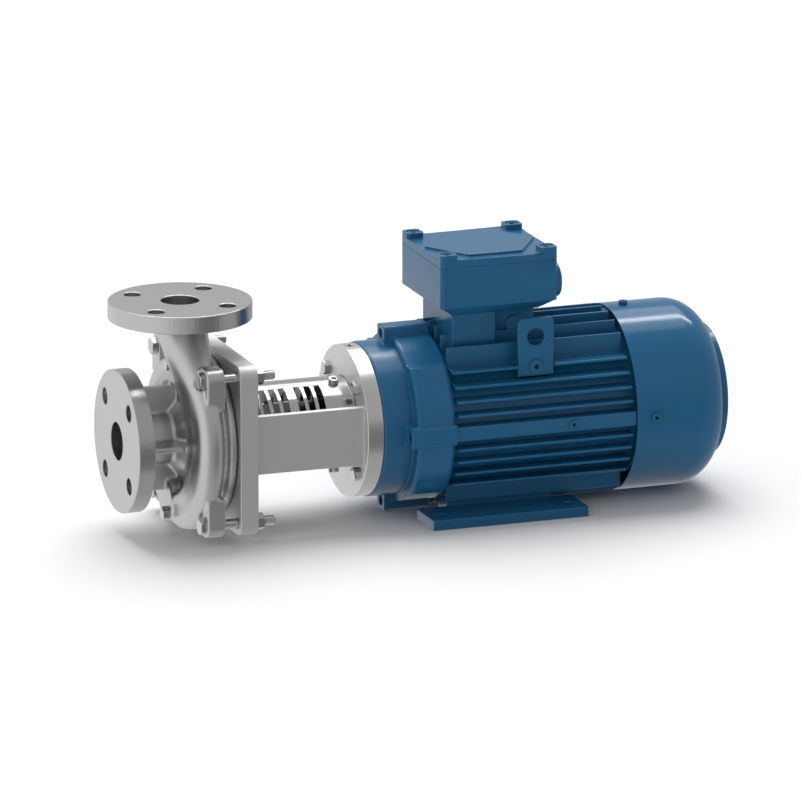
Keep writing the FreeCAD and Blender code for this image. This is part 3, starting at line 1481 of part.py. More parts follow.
def make_terminal_box():
    body = new_body()
    half = s.box_width / 2
    rear = box_front + s.box_length
    sketch = new_sketch(body, "XY_Plane", s.box_floor)
    add_outline(sketch, [(box_front, -half), (rear, -half), (rear, half), (box_front, half)])
    pad = extrude(body, sketch, s.box_height)
    round_edges(body, pad, s.box_corner, lambda edge: runs_along(edge, V(0, 0, 1)))
    wide = half - 1
    rim = new_sketch(body, "XY_Plane", s.box_floor + 0.5)
    add_outline(rim, [(box_front + 1, -wide), (rear - 1, -wide), (rear - 1, wide), (box_front + 1, wide)])
    narrow = s.neck_width / 2
    neck_front = motor_face + s.neck_shift
    neck_rear = neck_front + s.neck_length
    foot = new_sketch(body, "XY_Plane", s.box_floor - s.box_skirt)
    add_outline(foot, [(neck_front, -narrow), (neck_rear, -narrow),
                       (neck_rear, narrow), (neck_front, narrow)])
    skirt = body.newObject("PartDesign::AdditiveLoft", "skirt")
    skirt.Profile = rim
    skirt.Sections = [foot]
    skirt.Ruled = True
    inner = half - s.box_wall
    front_in = box_front + s.box_wall
    rear_in = rear - s.box_wall
    post = s.cover_boss
    sketch = new_sketch(body, "XY_Plane", box_top)
    add_outline(sketch, [
        (front_in + post, -inner), (rear_in - post, -inner), (rear_in - post, post - inner),
        (rear_in, post - inner), (rear_in, inner - post), (rear_in - post, inner - post),
        (rear_in - post, inner), (front_in + post, inner), (front_in + post, inner - post),
        (front_in, inner - post), (front_in, post - inner), (front_in + post, post - inner)])
    extrude(body, sketch, s.box_height - s.box_wall, "PartDesign::Pocket")
    sketch = new_sketch(body, "XY_Plane", s.box_floor + s.box_wall)
    window = s.neck_width / 2 - 20
    middle_x = neck_front + s.neck_length / 2
    add_outline(sketch, [(middle_x - window, -window), (middle_x + window, -window),
                         (middle_x + window, window), (middle_x - window, window)])
    extrude(body, sketch, s.box_wall + s.box_skirt, "PartDesign::Pocket")
    sketch = new_sketch(body, "YZ_Plane", rear)
    thread = s.entry_od / 2 - 5
    level = cover_top - s.entry_drop - s.cover_height
    for side in (-1, 1):
        add_circle(sketch, s.entry_pitch / 2 * side, level, thread)
    extrude(body, sketch, s.box_wall, "PartDesign::Pocket")
    keep("terminal_box", body)


def make_box_cover():
    """The heavy cover with four corner bosses and a plain raised pad."""
    low = float(box_top)
    high = float(cover_top)
    front = float(box_front)
    length = float(s.box_length)
    half = float(s.box_width) / 2
    cover = box_shape(V(front, -half, low), V(front + length, half, high))
    upright = [edge for edge in cover.Edges if runs_along(edge, V(0, 0, 1))]
    cover = cover.makeFillet(float(s.box_corner), upright)
    rise = float(s.cover_boss_rise)
    half_boss = float(s.cover_boss) / 2
    solids = []
    for x, y in boss_places():
        boss = box_shape(V(x - half_boss, y - half_boss, low), V(x + half_boss, y + half_boss, high + rise))
        upright = [edge for edge in boss.Edges if runs_along(edge, V(0, 0, 1))]
        solids.append(boss.makeFillet(float(s.box_corner), upright))
    middle = front + length / 2
    wide = length / 2 - 4
    deep = half - 12
    flat = length / 2 - 35
    pad = [V(middle + x, y, high - 1) for x, y in (
        (-wide, 0), (-flat, -deep), (flat, -deep), (wide, 0), (flat, deep), (-flat, deep))]
    solids.append(prism_shape(pad, V(0, 0, float(s.cover_pad_rise) + 1)))
    cover = cover.multiFuse(solids)
    wall = float(s.box_wall)
    post = float(s.cover_boss)
    hollow = box_shape(V(front + wall + post, -half + wall, low - 1),
                       V(front + length - wall - post, half - wall, high - wall))
    cover = cover.cut(hollow)
    for x, y in boss_places():
        cover = cover.cut(Part.makeCylinder(6.7, 10, V(x, y, high + rise - 8)))
        cover = cover.cut(Part.makeCylinder(4.2, 40, V(x, y, low - 1)))
    keep_shape("terminal_box_cover", cover)


def make_cover_screws():
    """Four socket-head screws sunk in the cover's bosses."""
    seat = float(cover_top + s.cover_boss_rise) - 8
    screws = []
    for x, y in boss_places():
        head = Part.makeCylinder(6.2, 7, V(x, y, seat))
        socket = Part.makeCylinder(3.2, 4, V(x, y, seat + 3.5))
        shank = Part.makeCylinder(4, seat - float(box_top), V(x, y, float(box_top)))
        screws.append(head.cut(socket).fuse(shank))
    keep_shape("cover_screws", Part.makeCompound(screws))


def make_terminals():
    """The terminal block on the box's floor, with six brass studs."""
    floor = s.box_floor + s.box_wall
    middle = box_front + s.box_length / 2
    width = s.neck_width - 10
    base = block(Size(36, "36"), width, Size(14, "14"), middle - 18, NONE, floor)
    studs = []
    holes = []
    for row_x in (-10, 10):
        for step in (-1, 0, 1):
            y = NONE + 22 * step
            x = middle + row_x
            holes.append(rod(Size(2.6, "2.6"), Size(30, "30"), x, y, floor - 1, UPRIGHT))
            stud = rod(Size(2.5, "2.5"), Size(22, "22"), x, y, floor + 2, UPRIGHT)
            nut = hexagon(Size(8, "8"), Size(4, "4"), x, y, floor + 14.2, UPRIGHT)
            studs.append(fused([stud, nut]))
    keep("terminal_block", cut(base, fused(holes)))
    keep("terminal_studs", group(studs))


def make_entry_plugs():
    """Two blanking plugs close the cable entries on the fan side of the box."""
    rear = box_front + s.box_length
    level = cover_top - s.entry_drop - s.cover_height
    plugs = []
    for side in (-1, 1):
        y = s.entry_pitch / 2 * side
        head = rod(s.entry_od / 2, s.plug_proud, rear, y, level)
        thread = rod(s.entry_od / 2 - 5 - s.fit, s.box_wall + 2, rear - s.box_wall, y, level)
        socket = hexagon(Size(10, "10"), Size(6, "6"), rear + s.plug_proud - 5, y, level)
        plugs.append(cut(fused([head, thread]), socket))
    keep("blanking_plugs", group(plugs))


def make_earth_screws():
    """The earthing screws: one on the lifting tab and one on the near side band."""
    screws = []
    places = [(motor_face + s.tab_x + s.tab_width / 2, s.tab_side, s.tab_low + 10, 7.5),
              (frame_rear - 79, s.band_side, NONE, 5.0)]
    for x, side, level, radius in places:
        seat = V(float(x), -float(side), float(level))
        head = Part.makeCylinder(radius, 2.2, seat, V(0, -1, 0))
        socket = Part.makeCylinder(radius * 0.35, 1.6, seat + V(0, -1, 0), V(0, -1, 0))
        screws.append(head.cut(socket))
    keep_shape("earth_screws", Part.makeCompound(screws))


def make_shaft_seal():
    """The rubber ring on the motor shaft that keeps water off the front bearing."""
    body = new_body()
    rear = motor_face - s.spigot_length - 0.5
    bore = s.motor_shaft / 2 + s.fit
    turn(body, [(rear - 6, bore), (rear - 6, bore + 5), (rear - 3, bore + 5), (rear, bore + 8),
                (rear - 1.5, bore + 3), (rear - 1, bore)])
    keep("shaft_vee_ring", body)


make_volute_casing()
make_plug("drain_plug", s.drain_x, s.drain_side, -s.drain_drop, s.drain_thread, s.drain_hex, s.drain_head)
make_plug("vent_plug", s.vent_x, s.vent_side, s.vent_rise, s.vent_thread, s.vent_hex, s.vent_head)
make_wear_ring()
make_gasket()
make_cover()
make_joint_bolts()
make_seal()
make_impeller()
make_stub_shaft()
make_clamp()
make_lantern()
make_guards()
make_guard_screws()
make_lantern_bolts()
make_front_shield()
make_shield_screws("front_shield_screws", motor_face + s.shield_lug_x + 5, frame_front - motor_face
                   - s.shield_lug_x + 6, s.shield_lug_radius - 9)
make_frame()
make_foot("near_foot", -1)
make_foot("far_foot", 1)
make_foot_screws()
make_stator()
make_rotor()
make_bearing("front_bearing", front_bearing + s.front_bearing_width / 2, s.front_seat,
             s.front_bearing_od, s.front_bearing_width)
make_bearing("rear_bearing", rear_bearing, s.rear_seat, s.rear_bearing_od, s.rear_bearing_width)
make_rear_shield()
make_rear_screws()
make_fan()
make_cowl()
make_terminal_box()
make_box_cover()
make_cover_screws()
make_terminals()
make_entry_plugs()
make_earth_screws()
make_shaft_seal()

doc.recompute()
for thing in doc.Objects:
    if "Invalid" in thing.State or "Error" in thing.State:
        raise RuntimeError("%s (%s) failed: %s" % (thing.Name, thing.Label, thing.State))
for piece in pieces:
    if piece.Shape.isNull() or not piece.Shape.isValid():
        raise RuntimeError("%s has no valid shape" % piece.Label)

os.makedirs("parts", exist_ok=True)
for piece in pieces:
    piece.Shape.exportStep("parts/%s.step" % piece.Label)
    box = piece.Shape.BoundBox
    print("%-22s %2d solids  volume %10.0f  x %7.1f %7.1f  y %6.1f %6.1f  z %6.1f %6.1f"
          % (piece.Label, len(piece.Shape.Solids), piece.Shape.Volume, box.XMin, box.XMax,
             box.YMin, box.YMax, box.ZMin, box.ZMax))
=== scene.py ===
import math

import bmesh
import bpy
from mathutils import Matrix, Vector


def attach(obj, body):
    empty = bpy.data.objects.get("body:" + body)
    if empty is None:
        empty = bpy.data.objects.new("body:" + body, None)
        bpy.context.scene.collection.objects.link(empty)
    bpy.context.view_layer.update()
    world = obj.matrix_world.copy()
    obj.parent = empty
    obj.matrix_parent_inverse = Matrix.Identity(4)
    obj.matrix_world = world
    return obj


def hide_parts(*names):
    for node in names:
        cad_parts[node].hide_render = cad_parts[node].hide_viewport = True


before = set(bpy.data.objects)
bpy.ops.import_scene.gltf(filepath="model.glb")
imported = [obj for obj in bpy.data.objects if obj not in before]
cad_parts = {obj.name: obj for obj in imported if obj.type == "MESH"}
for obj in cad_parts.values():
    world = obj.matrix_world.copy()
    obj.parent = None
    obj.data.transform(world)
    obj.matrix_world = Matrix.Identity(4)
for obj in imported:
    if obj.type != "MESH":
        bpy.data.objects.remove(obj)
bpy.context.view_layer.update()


# Volute casing: one investment casting in stainless steel with a flange to the suction
# pipe and one to the discharge pipe. It is bead blasted all over, so it is soft and
# grey, and its two flanges are turned flat after casting.

def linear(code):
    """An sRGB hex colour as linear red, green, blue and alpha."""
    parts = [int(code[place:place + 2], 16) / 255 for place in (1, 3, 5)]
    parts = [part / 12.92 if part <= 0.04045 else ((part + 0.055) / 1.055) ** 2.4
             for part in parts]
    return (*parts, 1.0)


def add_node(material, kind, settings=None, sockets=None):
    """Adds a node; sockets gives its inputs a value or another node's output."""
    node = material.node_tree.nodes.new(kind)
    for name, value in (settings or {}).items():
        setattr(node, name, value)
    for name, value in (sockets or {}).items():
        if isinstance(value, bpy.types.NodeSocket):
            material.node_tree.links.new(value, node.inputs[name])
        else:
            node.inputs[name].default_value = value
    return node


def per_metre(millimetres):
    """The scale of a pattern whose features are this far apart."""
    return 1000 / millimetres


def new_material(name):
    """An empty material, and the place of a point on the piece."""
    material = bpy.data.materials.new(name)
    material.use_nodes = True
    material.node_tree.nodes.clear()
    place = add_node(material, "ShaderNodeTexCoord").outputs["Object"]
    return material, place


def finish_material(material, settings):
    """Joins a principled surface with these inputs to the material's output."""
    surface = add_node(material, "ShaderNodeBsdfPrincipled", None, settings)
    add_node(material, "ShaderNodeOutputMaterial", None, {"Surface": surface.outputs["BSDF"]})
    return material


def blasted_stainless():
    """Bead-blasted cast stainless: a soft warm grey metal with a finely pebbled skin. The
    pebbles are drawn 1.1 mm apart, which is coarser than real ones, so that they show."""
    material, place = new_material("bead_blasted_cast_stainless")
    patches = add_node(material, "ShaderNodeTexNoise", None, {
        "Vector": place, "Scale": per_metre(28), "Detail": 4, "Roughness": 0.6})
    colour = add_node(material, "ShaderNodeMix", {"data_type": "RGBA"}, {
        "Factor": patches.outputs["Fac"], "A": linear("#c3c2c1"), "B": linear("#cfcecd")})
    rough = add_node(material, "ShaderNodeMapRange", None, {
        "Value": patches.outputs["Fac"], "From Min": 0.3, "From Max": 0.7,
        "To Min": 0.33, "To Max": 0.40})
    pebbles = add_node(material, "ShaderNodeTexNoise", None, {
        "Vector": place, "Scale": per_metre(1.1), "Detail": 3, "Roughness": 0.55})
    pebbled = add_node(material, "ShaderNodeBump", None, {
        "Height": pebbles.outputs["Fac"], "Strength": 0.10, "Distance": 0.0001})
    flow = add_node(material, "ShaderNodeTexNoise", None, {
        "Vector": place, "Scale": per_metre(16), "Detail": 2, "Roughness": 0.5})
    cast_wave = add_node(material, "ShaderNodeBump", None, {
        "Height": flow.outputs["Fac"], "Strength": 0.08, "Distance": 0.0008,
        "Normal": pebbled.outputs["Normal"]})
    return finish_material(material, {
        "Base Color": colour.outputs["Result"], "Metallic": 1.0,
        "Roughness": rough.outputs["Result"], "Normal": cast_wave.outputs["Normal"]})


def turned_flange_finish():
    """Stainless turned flat on a lathe after casting: satin metal, faintly streaked. Its
    cut lines are drawn 0.6 mm apart, which is coarser than real ones, so that they show."""
    material, place = new_material("turned_flange_stainless")
    streaks = add_node(material, "ShaderNodeTexNoise", None, {
        "Vector": place, "Scale": per_metre(60), "Detail": 2, "Roughness": 0.5})
    colour = add_node(material, "ShaderNodeMix", {"data_type": "RGBA"}, {
        "Factor": streaks.outputs["Fac"], "A": linear("#c0bfbe"), "B": linear("#c6c5c4")})
    cut_lines = add_node(material, "ShaderNodeTexNoise", None, {
        "Vector": place, "Scale": per_metre(0.6), "Detail": 1, "Roughness": 0.5})
    cut = add_node(material, "ShaderNodeBump", None, {
        "Height": cut_lines.outputs["Fac"], "Strength": 0.06, "Distance": 0.00005})
    return finish_material(material, {
        "Base Color": colour.outputs["Result"], "Metallic": 1.0, "Roughness": 0.26,
        "Normal": cut.outputs["Normal"]})


def welded_copy(node):
    """A new mesh of a construction node with its loose triangles joined up."""
    shape = bmesh.new()
    shape.from_mesh(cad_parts[node].data)
    bmesh.ops.remove_doubles(shape, verts=shape.verts, dist=0.000005)
    return shape


def new_piece(shape, name, material):
    """Makes a piece of the standing machine from its mesh and sets its finish."""
    mesh = bpy.data.meshes.new(name)
    shape.to_mesh(mesh)
    shape.free()
    mesh.shade_smooth()
    mesh.set_sharp_from_angle(angle=math.radians(28))
    piece = bpy.data.objects.new(name, mesh)
    bpy.context.scene.collection.objects.link(piece)
    piece.data.materials.append(material)
    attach(piece, "pump")
    return piece


def break_edges(piece, width):
    """Breaks the piece's hard edges by this many millimetres, as a fettler's file does."""
    edge = piece.modifiers.new("broken edges", "BEVEL")
    edge.width = width / 1000
    edge.segments = 2
    edge.limit_method = "ANGLE"
    edge.angle_limit = math.radians(32)
    edge.use_clamp_overlap = False
    flats = piece.modifiers.new("flat faces", "WEIGHTED_NORMAL")
    flats.keep_sharp = True


def finished_copy(node, material, width):
    """Stands a copy in a node's place, with its edges broken if it has a width."""
    shape = welded_copy(node)
    if width:
        bmesh.ops.dissolve_limit(shape, angle_limit=math.radians(0.4), verts=shape.verts,
                                 edges=shape.edges)
    piece = new_piece(shape, node + "_finished", material)
    if width:
        break_edges(piece, width)
    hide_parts(node)


def cut_off(shape, place, way):
    """Cuts away all that lies past a plane and gives the edges of the cut."""
    everything = shape.verts[:] + shape.edges[:] + shape.faces[:]
    cut = bmesh.ops.bisect_plane(shape, geom=everything, dist=0.000001, plane_co=place,
                                 plane_no=way, clear_outer=True)
    return [part for part in cut["geom_cut"] if isinstance(part, bmesh.types.BMEdge)]


def close_cut(shape, edges):
    """Fills a flat ring or rings of cut edges with a face each."""
    bmesh.ops.triangle_fill(shape, use_beauty=True, use_dissolve=False, edges=edges)


def spun(shape, line, steps=48, height=0.0, rise=0.0, turns=1):
    """Turns a line of (x, radius) points in millimetres about x; with a rise it climbs."""
    verts = [shape.verts.new((x / 1000, 0, (height + radius) / 1000)) for x, radius in line]
    edges = [shape.edges.new(pair) for pair in zip(verts, verts[1:])]
    bmesh.ops.spin(shape, geom=verts + edges, cent=(0, 0, height / 1000), axis=(1, 0, 0),
                   dvec=(rise / steps / 1000, 0, 0), angle=math.tau * turns,
                   steps=steps * turns, use_merge=rise == 0, use_duplicate=False)
    bmesh.ops.remove_doubles(shape, verts=shape.verts, dist=0.000002)


cast_stainless = blasted_stainless()
turned_stainless = turned_flange_finish()
# The flanges' back planes and the stubs are in metres, the belly's line in millimetres.
flange_backs = {"suction_flange": (Vector((-0.3809, 0, 0)), Vector((-1, 0, 0))),
                "discharge_flange": (Vector((0, 0, 0.2269)), Vector((0, 0, 1)))}
stub_length = 0.008
below_discharge_flange = Vector((0, 0, 0.2))
shaft_height = 100
belly_line = [(-339, 57), (-342.4, 61), (-343.8, 66), (-343.6, 71), (-341.7, 76.4),
              (-338, 80.9), (-333, 83.9), (-327, 85.2), (-319, 85.4), (-313.5, 84.9),
              (-310.6, 83.3), (-310.6, 80), (-323, 80.5), (-327.5, 77), (-330, 72),
              (-330, 57), (-339, 57)]
casting = welded_copy("volute_casing")
for place, outward in flange_backs.values():
    stub = bmesh.ops.extrude_edge_only(casting, edges=cut_off(casting, place, outward))["geom"]
    rim_verts = {part for part in stub if isinstance(part, bmesh.types.BMVert)}
    bmesh.ops.translate(casting, verts=list(rim_verts), vec=outward * stub_length)
    close_cut(casting, [part for part in stub if isinstance(part, bmesh.types.BMEdge)
                        and all(vert in rim_verts for vert in part.verts)])
spun(casting, belly_line, 96, shaft_height)
volute_body = new_piece(casting, "volute_body", cast_stainless)
skin = volute_body.modifiers.new("one cast skin", "REMESH")
skin.mode = "VOXEL"
skin.voxel_size = 0.0016
skin.use_smooth_shade = True
fillets = volute_body.modifiers.new("cast fillets", "SMOOTH")
fillets.factor = 0.5
fillets.iterations = 6
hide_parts("volute_casing")
for name, (place, outward) in flange_backs.items():
    flange = welded_copy("volute_casing")
    close_cut(flange, cut_off(flange, place, -outward))
    if name == "suction_flange":
        cut_off(flange, below_discharge_flange, Vector((0, 0, 1)))
    turned_flange = new_piece(flange, name, turned_stainless)
    break_edges(turned_flange, 0.8)
    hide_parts("volute_casing")


# Lantern: the bracket between pump and motor, a stainless casting whose square plate,
# side walls and round disc are milled and turned after casting.

def milled_stainless():
    """Machined stainless with fine tool marks along x: satin walls, then a shinier disc.
    The marks are drawn 0.9 mm apart, which is coarser than real ones, so that they show."""
    material, place = new_material("milled_stainless")
    stretched = add_node(material, "ShaderNodeMapping", None, {
        "Vector": place, "Scale": (0.06, 1, 1)})
    marks = add_node(material, "ShaderNodeTexNoise", None, {
        "Vector": stretched.outputs["Vector"], "Scale": per_metre(0.9), "Detail": 3,
        "Roughness": 0.6})
    colour = add_node(material, "ShaderNodeMix", {"data_type": "RGBA"}, {
        "Factor": marks.outputs["Fac"], "A": linear("#d4d3d2"), "B": linear("#dad9d8")})
    along = add_node(material, "ShaderNodeSeparateXYZ", None, {"Vector": place})
    walls_end, disc_start = -0.152, -0.150
    rough = add_node(material, "ShaderNodeMapRange", {"interpolation_type": "SMOOTHSTEP"}, {
        "Value": along.outputs["X"], "From Min": walls_end, "From Max": disc_start,
        "To Min": 0.60, "To Max": 0.24})
    milled_marks = add_node(material, "ShaderNodeBump", None, {
        "Height": marks.outputs["Fac"], "Strength": 0.2, "Distance": 0.00006})
    return finish_material(material, {
        "Base Color": colour.outputs["Result"], "Metallic": 1.0,
        "Roughness": rough.outputs["Result"], "Normal": milled_marks.outputs["Normal"]})


milled = milled_stainless()
for node in ("lantern", "casing_cover"):
    finished_copy(node, milled, 0.8)


# Coupling guards: two half shells of slotted stainless sheet over the turning clamp,
# punched, rolled and held by a screw each.

def polished_stainless():
    """Bright rolled stainless sheet and bar: nearly a mirror, unevenly polished."""
    material, place = new_material("bright_stainless")
    polish = add_node(material, "ShaderNodeTexNoise", None, {
        "Vector": place, "Scale": per_metre(3), "Detail": 3, "Roughness": 0.5})
    rough = add_node(material, "ShaderNodeMapRange", None, {
        "Value": polish.outputs["Fac"], "From Min": 0.3, "From Max": 0.7,
        "To Min": 0.10, "To Max": 0.20})
    colour = add_node(material, "ShaderNodeMix", {"data_type": "RGBA"}, {
        "Factor": polish.outputs["Fac"], "A": linear("#bfbfbe"), "B": linear("#cbcbca")})
    return finish_material(material, {
        "Base Color": colour.outputs["Result"], "Metallic": 1.0,
        "Roughness": rough.outputs["Result"]})


bright = polished_stainless()
for node in ("guard_top", "guard_bottom"):
    finished_copy(node, bright, 0.3)


# Hexagon bolts, nuts and plugs of the pump end: forged stainless, each head and nut
# turned to a chamfer over its corners, each long bolt with a rolled thread at its end.

def tidy_shell(shape):
    """Points the faces of closed shells outwards."""
    bmesh.ops.recalc_face_normals(shape, faces=shape.faces)
    return shape


def hexagon(low, high, flats, bore=0.0, both=False):
    """A hexagon head from low to high, chamfered on its low face, or a nut on both faces."""
    over_corners, over_face, chamfer_slope = 0.578, 0.475, 0.577
    corner = flats * over_corners
    face = flats * over_face
    chamfer = (corner - face) * chamfer_slope
    line = [(low, bore), (low, face), (low + chamfer, corner)]
    if both:
        line += [(high - chamfer, corner), (high, face), (high, bore), (low, bore)]
    else:
        line += [(high, corner), (high, 0)]
    shape = bmesh.new()
    spun(shape, line)
    for step in range(6):
        turn = step * math.pi / 3
        outward = Vector((0, math.cos(turn), math.sin(turn)))
        close_cut(shape, cut_off(shape, outward * flats / 2000, outward))
    return tidy_shell(shape)


def bar(low, high, radius):
    """A plain round bar."""
    shape = bmesh.new()
    spun(shape, [(low, 0), (low, radius), (high, radius), (high, 0)])
    return tidy_shell(shape)


def threaded_end(low, high, radius, pitch):
    """A screwed length of bar whose last millimetre is its point."""
    thread_depth, crest_start, crest_end = 0.61 * pitch, low - 0.6 * pitch, low - 0.4 * pitch
    root = radius - thread_depth
    point_start, point_taper = high - 1, 0.9
    shape = bmesh.new()
    turns = math.ceil((high - low) / pitch) + 2
    spun(shape, [(low - pitch, root), (crest_start, radius), (crest_end, radius), (low, root)],
         24, 0, pitch, turns)
    for place, outward in ((low, -1), (point_start, 1)):
        close_cut(shape, cut_off(shape, Vector((place / 1000, 0, 0)), Vector((outward, 0, 0))))
    spun(shape, [(point_start, 0), (point_start, root), (high, root - point_taper), (high, 0)])
    return tidy_shell(shape)


def place_copies(name, parts, places, material, turn=None):
    """Joins the parts of one fastener and sets a copy of it at each place."""
    whole = bmesh.new()
    for part in parts:
        mesh = bpy.data.meshes.new(name)
        part.to_mesh(mesh)
        part.free()
        for number, place in enumerate(places):
            before = len(whole.verts)
            whole.from_mesh(mesh)
            whole.verts.ensure_lookup_table()
            matrix = Matrix.Translation(Vector(place) / 1000)
            if turn:
                matrix = matrix @ turn[number]
            bmesh.ops.transform(whole, matrix=matrix, verts=whole.verts[before:])
        bpy.data.meshes.remove(mesh)
    piece = new_piece(whole, name, material)
    break_edges(piece, 0.2)
    return piece


def four_places(offset):
    """The corners of a square about the shaft, this far across and up from it."""
    return [(0, y, shaft_height + z) for y in (-offset, offset) for z in (-offset, offset)]


joint_corners = four_places(77.5)
motor_face_corners = four_places(45.96)
drain_place = (0, -3, 19)
vent_place = (0, -6, 178.5)
for name, node, parts, places in (
        ("hexagon_bolts", "casing_bolts", [
            hexagon(-335.9, -329.5, 16), bar(-330.0, -277.5, 5),
            threaded_end(-277.6, -253, 5, 1.5)], joint_corners),
        ("hexagon_nuts", "casing_nuts", [
            hexagon(-274.5, -266, 16, 5.03, True)], joint_corners),
        ("motor_face_bolts", "lantern_bolts", [
            hexagon(-156.5, -151, 13), bar(-151.5, -121, 3.97)], motor_face_corners),
        ("drain_plug_head", "drain_plug", [
            hexagon(-351.5, -345, 13), bar(-345.5, -339, 4.97)], [drain_place]),
        ("vent_plug_head", "vent_plug", [
            hexagon(-347.5, -343.5, 11), bar(-344, -337.5, 3.97)], [vent_place])):
    fasteners = place_copies(name, parts, places, bright)
    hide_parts(node)
finished_copy("guard_screws", bright, 0.35)


# Parts inside the pump, pushed onto the stub shaft and held by the impeller's nut: bright
# turned stainless wetted parts, a shaft and clamp drawn nearly black as painted shade in the
# lantern, a matt fibre gasket, and a seal with a cream ceramic seat and a dull carbon ring.

def plain_finish(name, low, high, roughness, metallic, grain_size):
    """A finish with a fine even grain of two close colours."""
    material, place = new_material(name)
    grain = add_node(material, "ShaderNodeTexNoise", None, {
        "Vector": place, "Scale": per_metre(grain_size), "Detail": 3, "Roughness": 0.55})
    colour = add_node(material, "ShaderNodeMix", {"data_type": "RGBA"}, {
        "Factor": grain.outputs["Fac"], "A": linear(low), "B": linear(high)})
    grained = add_node(material, "ShaderNodeBump", None, {
        "Height": grain.outputs["Fac"], "Strength": 0.2, "Distance": 0.00008})
    return finish_material(material, {
        "Base Color": colour.outputs["Result"], "Metallic": metallic, "Roughness": roughness,
        "Normal": grained.outputs["Normal"]})


def dress(nodes, material):
    """Gives construction nodes whose shape is right as it is their finish."""
    for name in nodes:
        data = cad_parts[name].data
        data.materials.clear()
        data.materials.append(material)


dress(("casing_wear_ring", "impeller", "impeller_nut", "seal_collar"),
      plain_finish("turned_stainless", "#b9b6b2", "#cac7c3", 0.26, 1.0, 1.5))
# The shaft and clamp are coloured nearly black: painted shade inside the lantern.
dress(("stub_shaft", "clamp_ring"),
      plain_finish("steel_darkened_as_painted_shade", "#3a3c3e", "#4a4c4e", 0.4, 1.0, 1.5))
dress(("casing_gasket",), plain_finish("fibre_gasket", "#1b1c1e", "#26282a", 0.7, 0.0, 0.8))
dress(("seal_seat",), plain_finish("ground_ceramic", "#cfc9ba", "#dcd7ca", 0.3, 0.0, 0.6))
dress(("seal_ring",), plain_finish("carbon_graphite", "#202124", "#2c2d30", 0.45, 0.0, 0.6))


# Electric motor: aluminium castings and a pressed steel fan cowl, all sprayed with
# the same blue two-part enamel.

def blue_enamel(name, peel_depth, peel_size, roughest):
    """Blue enamel over metal: an even colour with a sheen and a faint orange-peel skin."""
    material, place = new_material(name)
    patches = add_node(material, "ShaderNodeTexNoise", None, {
        "Vector": place, "Scale": per_metre(45), "Detail": 4, "Roughness": 0.6})
    colour = add_node(material, "ShaderNodeMix", {"data_type": "RGBA"}, {
        "Factor": patches.outputs["Fac"], "A": linear("#1a5a81"), "B": linear("#1e5f88")})
    rough = add_node(material, "ShaderNodeMapRange", None, {
        "Value": patches.outputs["Fac"], "From Min": 0.3, "From Max": 0.7,
        "To Min": roughest - 0.04, "To Max": roughest})
    peel = add_node(material, "ShaderNodeTexNoise", None, {
        "Vector": place, "Scale": per_metre(peel_size), "Detail": 2, "Roughness": 0.5})
    peeled = add_node(material, "ShaderNodeBump", None, {
        "Height": peel.outputs["Fac"], "Strength": 0.06, "Distance": peel_depth / 1000})
    return finish_material(material, {
        "Base Color": colour.outputs["Result"], "Roughness": rough.outputs["Result"],
        "Specular IOR Level": 0.36, "Normal": peeled.outputs["Normal"]})


cast_paint = blue_enamel("blue_enamel_on_castings", 0.07, 2.2, 0.27)
for node, edge_width in (
        ("drive_end_shield", 1.0), ("stator_frame", 1.0), ("near_foot", 1.0),
        ("far_foot", 1.0), ("rear_end_shield", 1.0), ("terminal_box", 0),
        ("terminal_box_cover", 0.6)):
    finished_copy(node, cast_paint, edge_width)
sheet_paint = blue_enamel("blue_enamel_on_sheet", 0.025, 3.5, 0.18)
for node in ("fan_cowl", "cowl_grille"):
    finished_copy(node, sheet_paint, 0.4)


# Motor screws, painted over with the motor, and its inner parts: bright ground steel
# shaft and bearings, dull grey laminations pressed into the frame, brown varnished
# windings, and a moulded fan and terminal board in matt black.

def key_recess(depth, radius):
    """A near-black cup lining the six-sided hole for a key: painted shade in the socket."""
    rim_radius, end = radius * 1.25, depth + 0.08
    shape = bmesh.new()
    spun(shape, [(0, rim_radius), (0, radius), (depth, radius), (depth, 0), (end, 0),
                 (end, rim_radius), (0, rim_radius)], 6)
    return tidy_shell(shape)


for node in ("cowl_screws", "cover_screws", "earth_screws"):
    finished_copy(node, cast_paint, 0.25)
for node in ("front_shield_screws", "rear_shield_screws", "foot_screws"):
    finished_copy(node, cast_paint, 0.25)
# The screw sockets are lined with near-black cups: painted shade in the holes.
socket_shade_lining = plain_finish("painted_socket_shade", "#0d0e0f", "#161718", 0.5, 0.0, 1.0)
facing = {"up": Matrix.Rotation(math.pi / 2, 4, "Y"),
          "down": Matrix.Rotation(-math.pi / 2, 4, "Y"),
          "near": Matrix.Rotation(math.pi / 2, 4, "Z"),
          "far": Matrix.Rotation(-math.pi / 2, 4, "Z")}
cover_seats = [("up", (x, y, 281.95)) for x in (-54.5, 55.5) for y in (-52, 52)]
cowl_seats = [("up", (161, 0, 202.05)), ("down", (161, 0, -2.05)),
              ("near", (161, -102.05, 100)), ("far", (161, 102.05, 100))]
for name, depth, radius, seats in (
        ("cover_screw_recesses", 3.3, 2.5, cover_seats),
        ("tab_screw_recess", 1.1, 2.0, [("near", (36, -77.15, 160))]),
        ("band_screw_recess", 1.1, 1.4, [("near", (70, -98.65, 100))]),
        ("cowl_screw_recesses", 1.5, 1.6, cowl_seats)):
    place_copies(name, [key_recess(depth, radius)], [place for way, place in seats],
                 socket_shade_lining, [facing[way] for way, place in seats])
dress(("seal_spring", "impeller_key", "clamp_screws", "motor_shaft", "shaft_key",
       "front_bearing_inner_race", "front_bearing_outer_race", "front_bearing_balls",
       "rear_bearing_inner_race", "rear_bearing_outer_race", "rear_bearing_balls",
       "wave_washer", "fan_circlip"),
      plain_finish("ground_steel", "#9b9c9e", "#adaeb0", 0.24, 1.0, 1.0))
dress(("stator_core", "rotor_core"),
      plain_finish("electrical_sheet", "#4a4c50", "#5b5d61", 0.5, 1.0, 0.5))
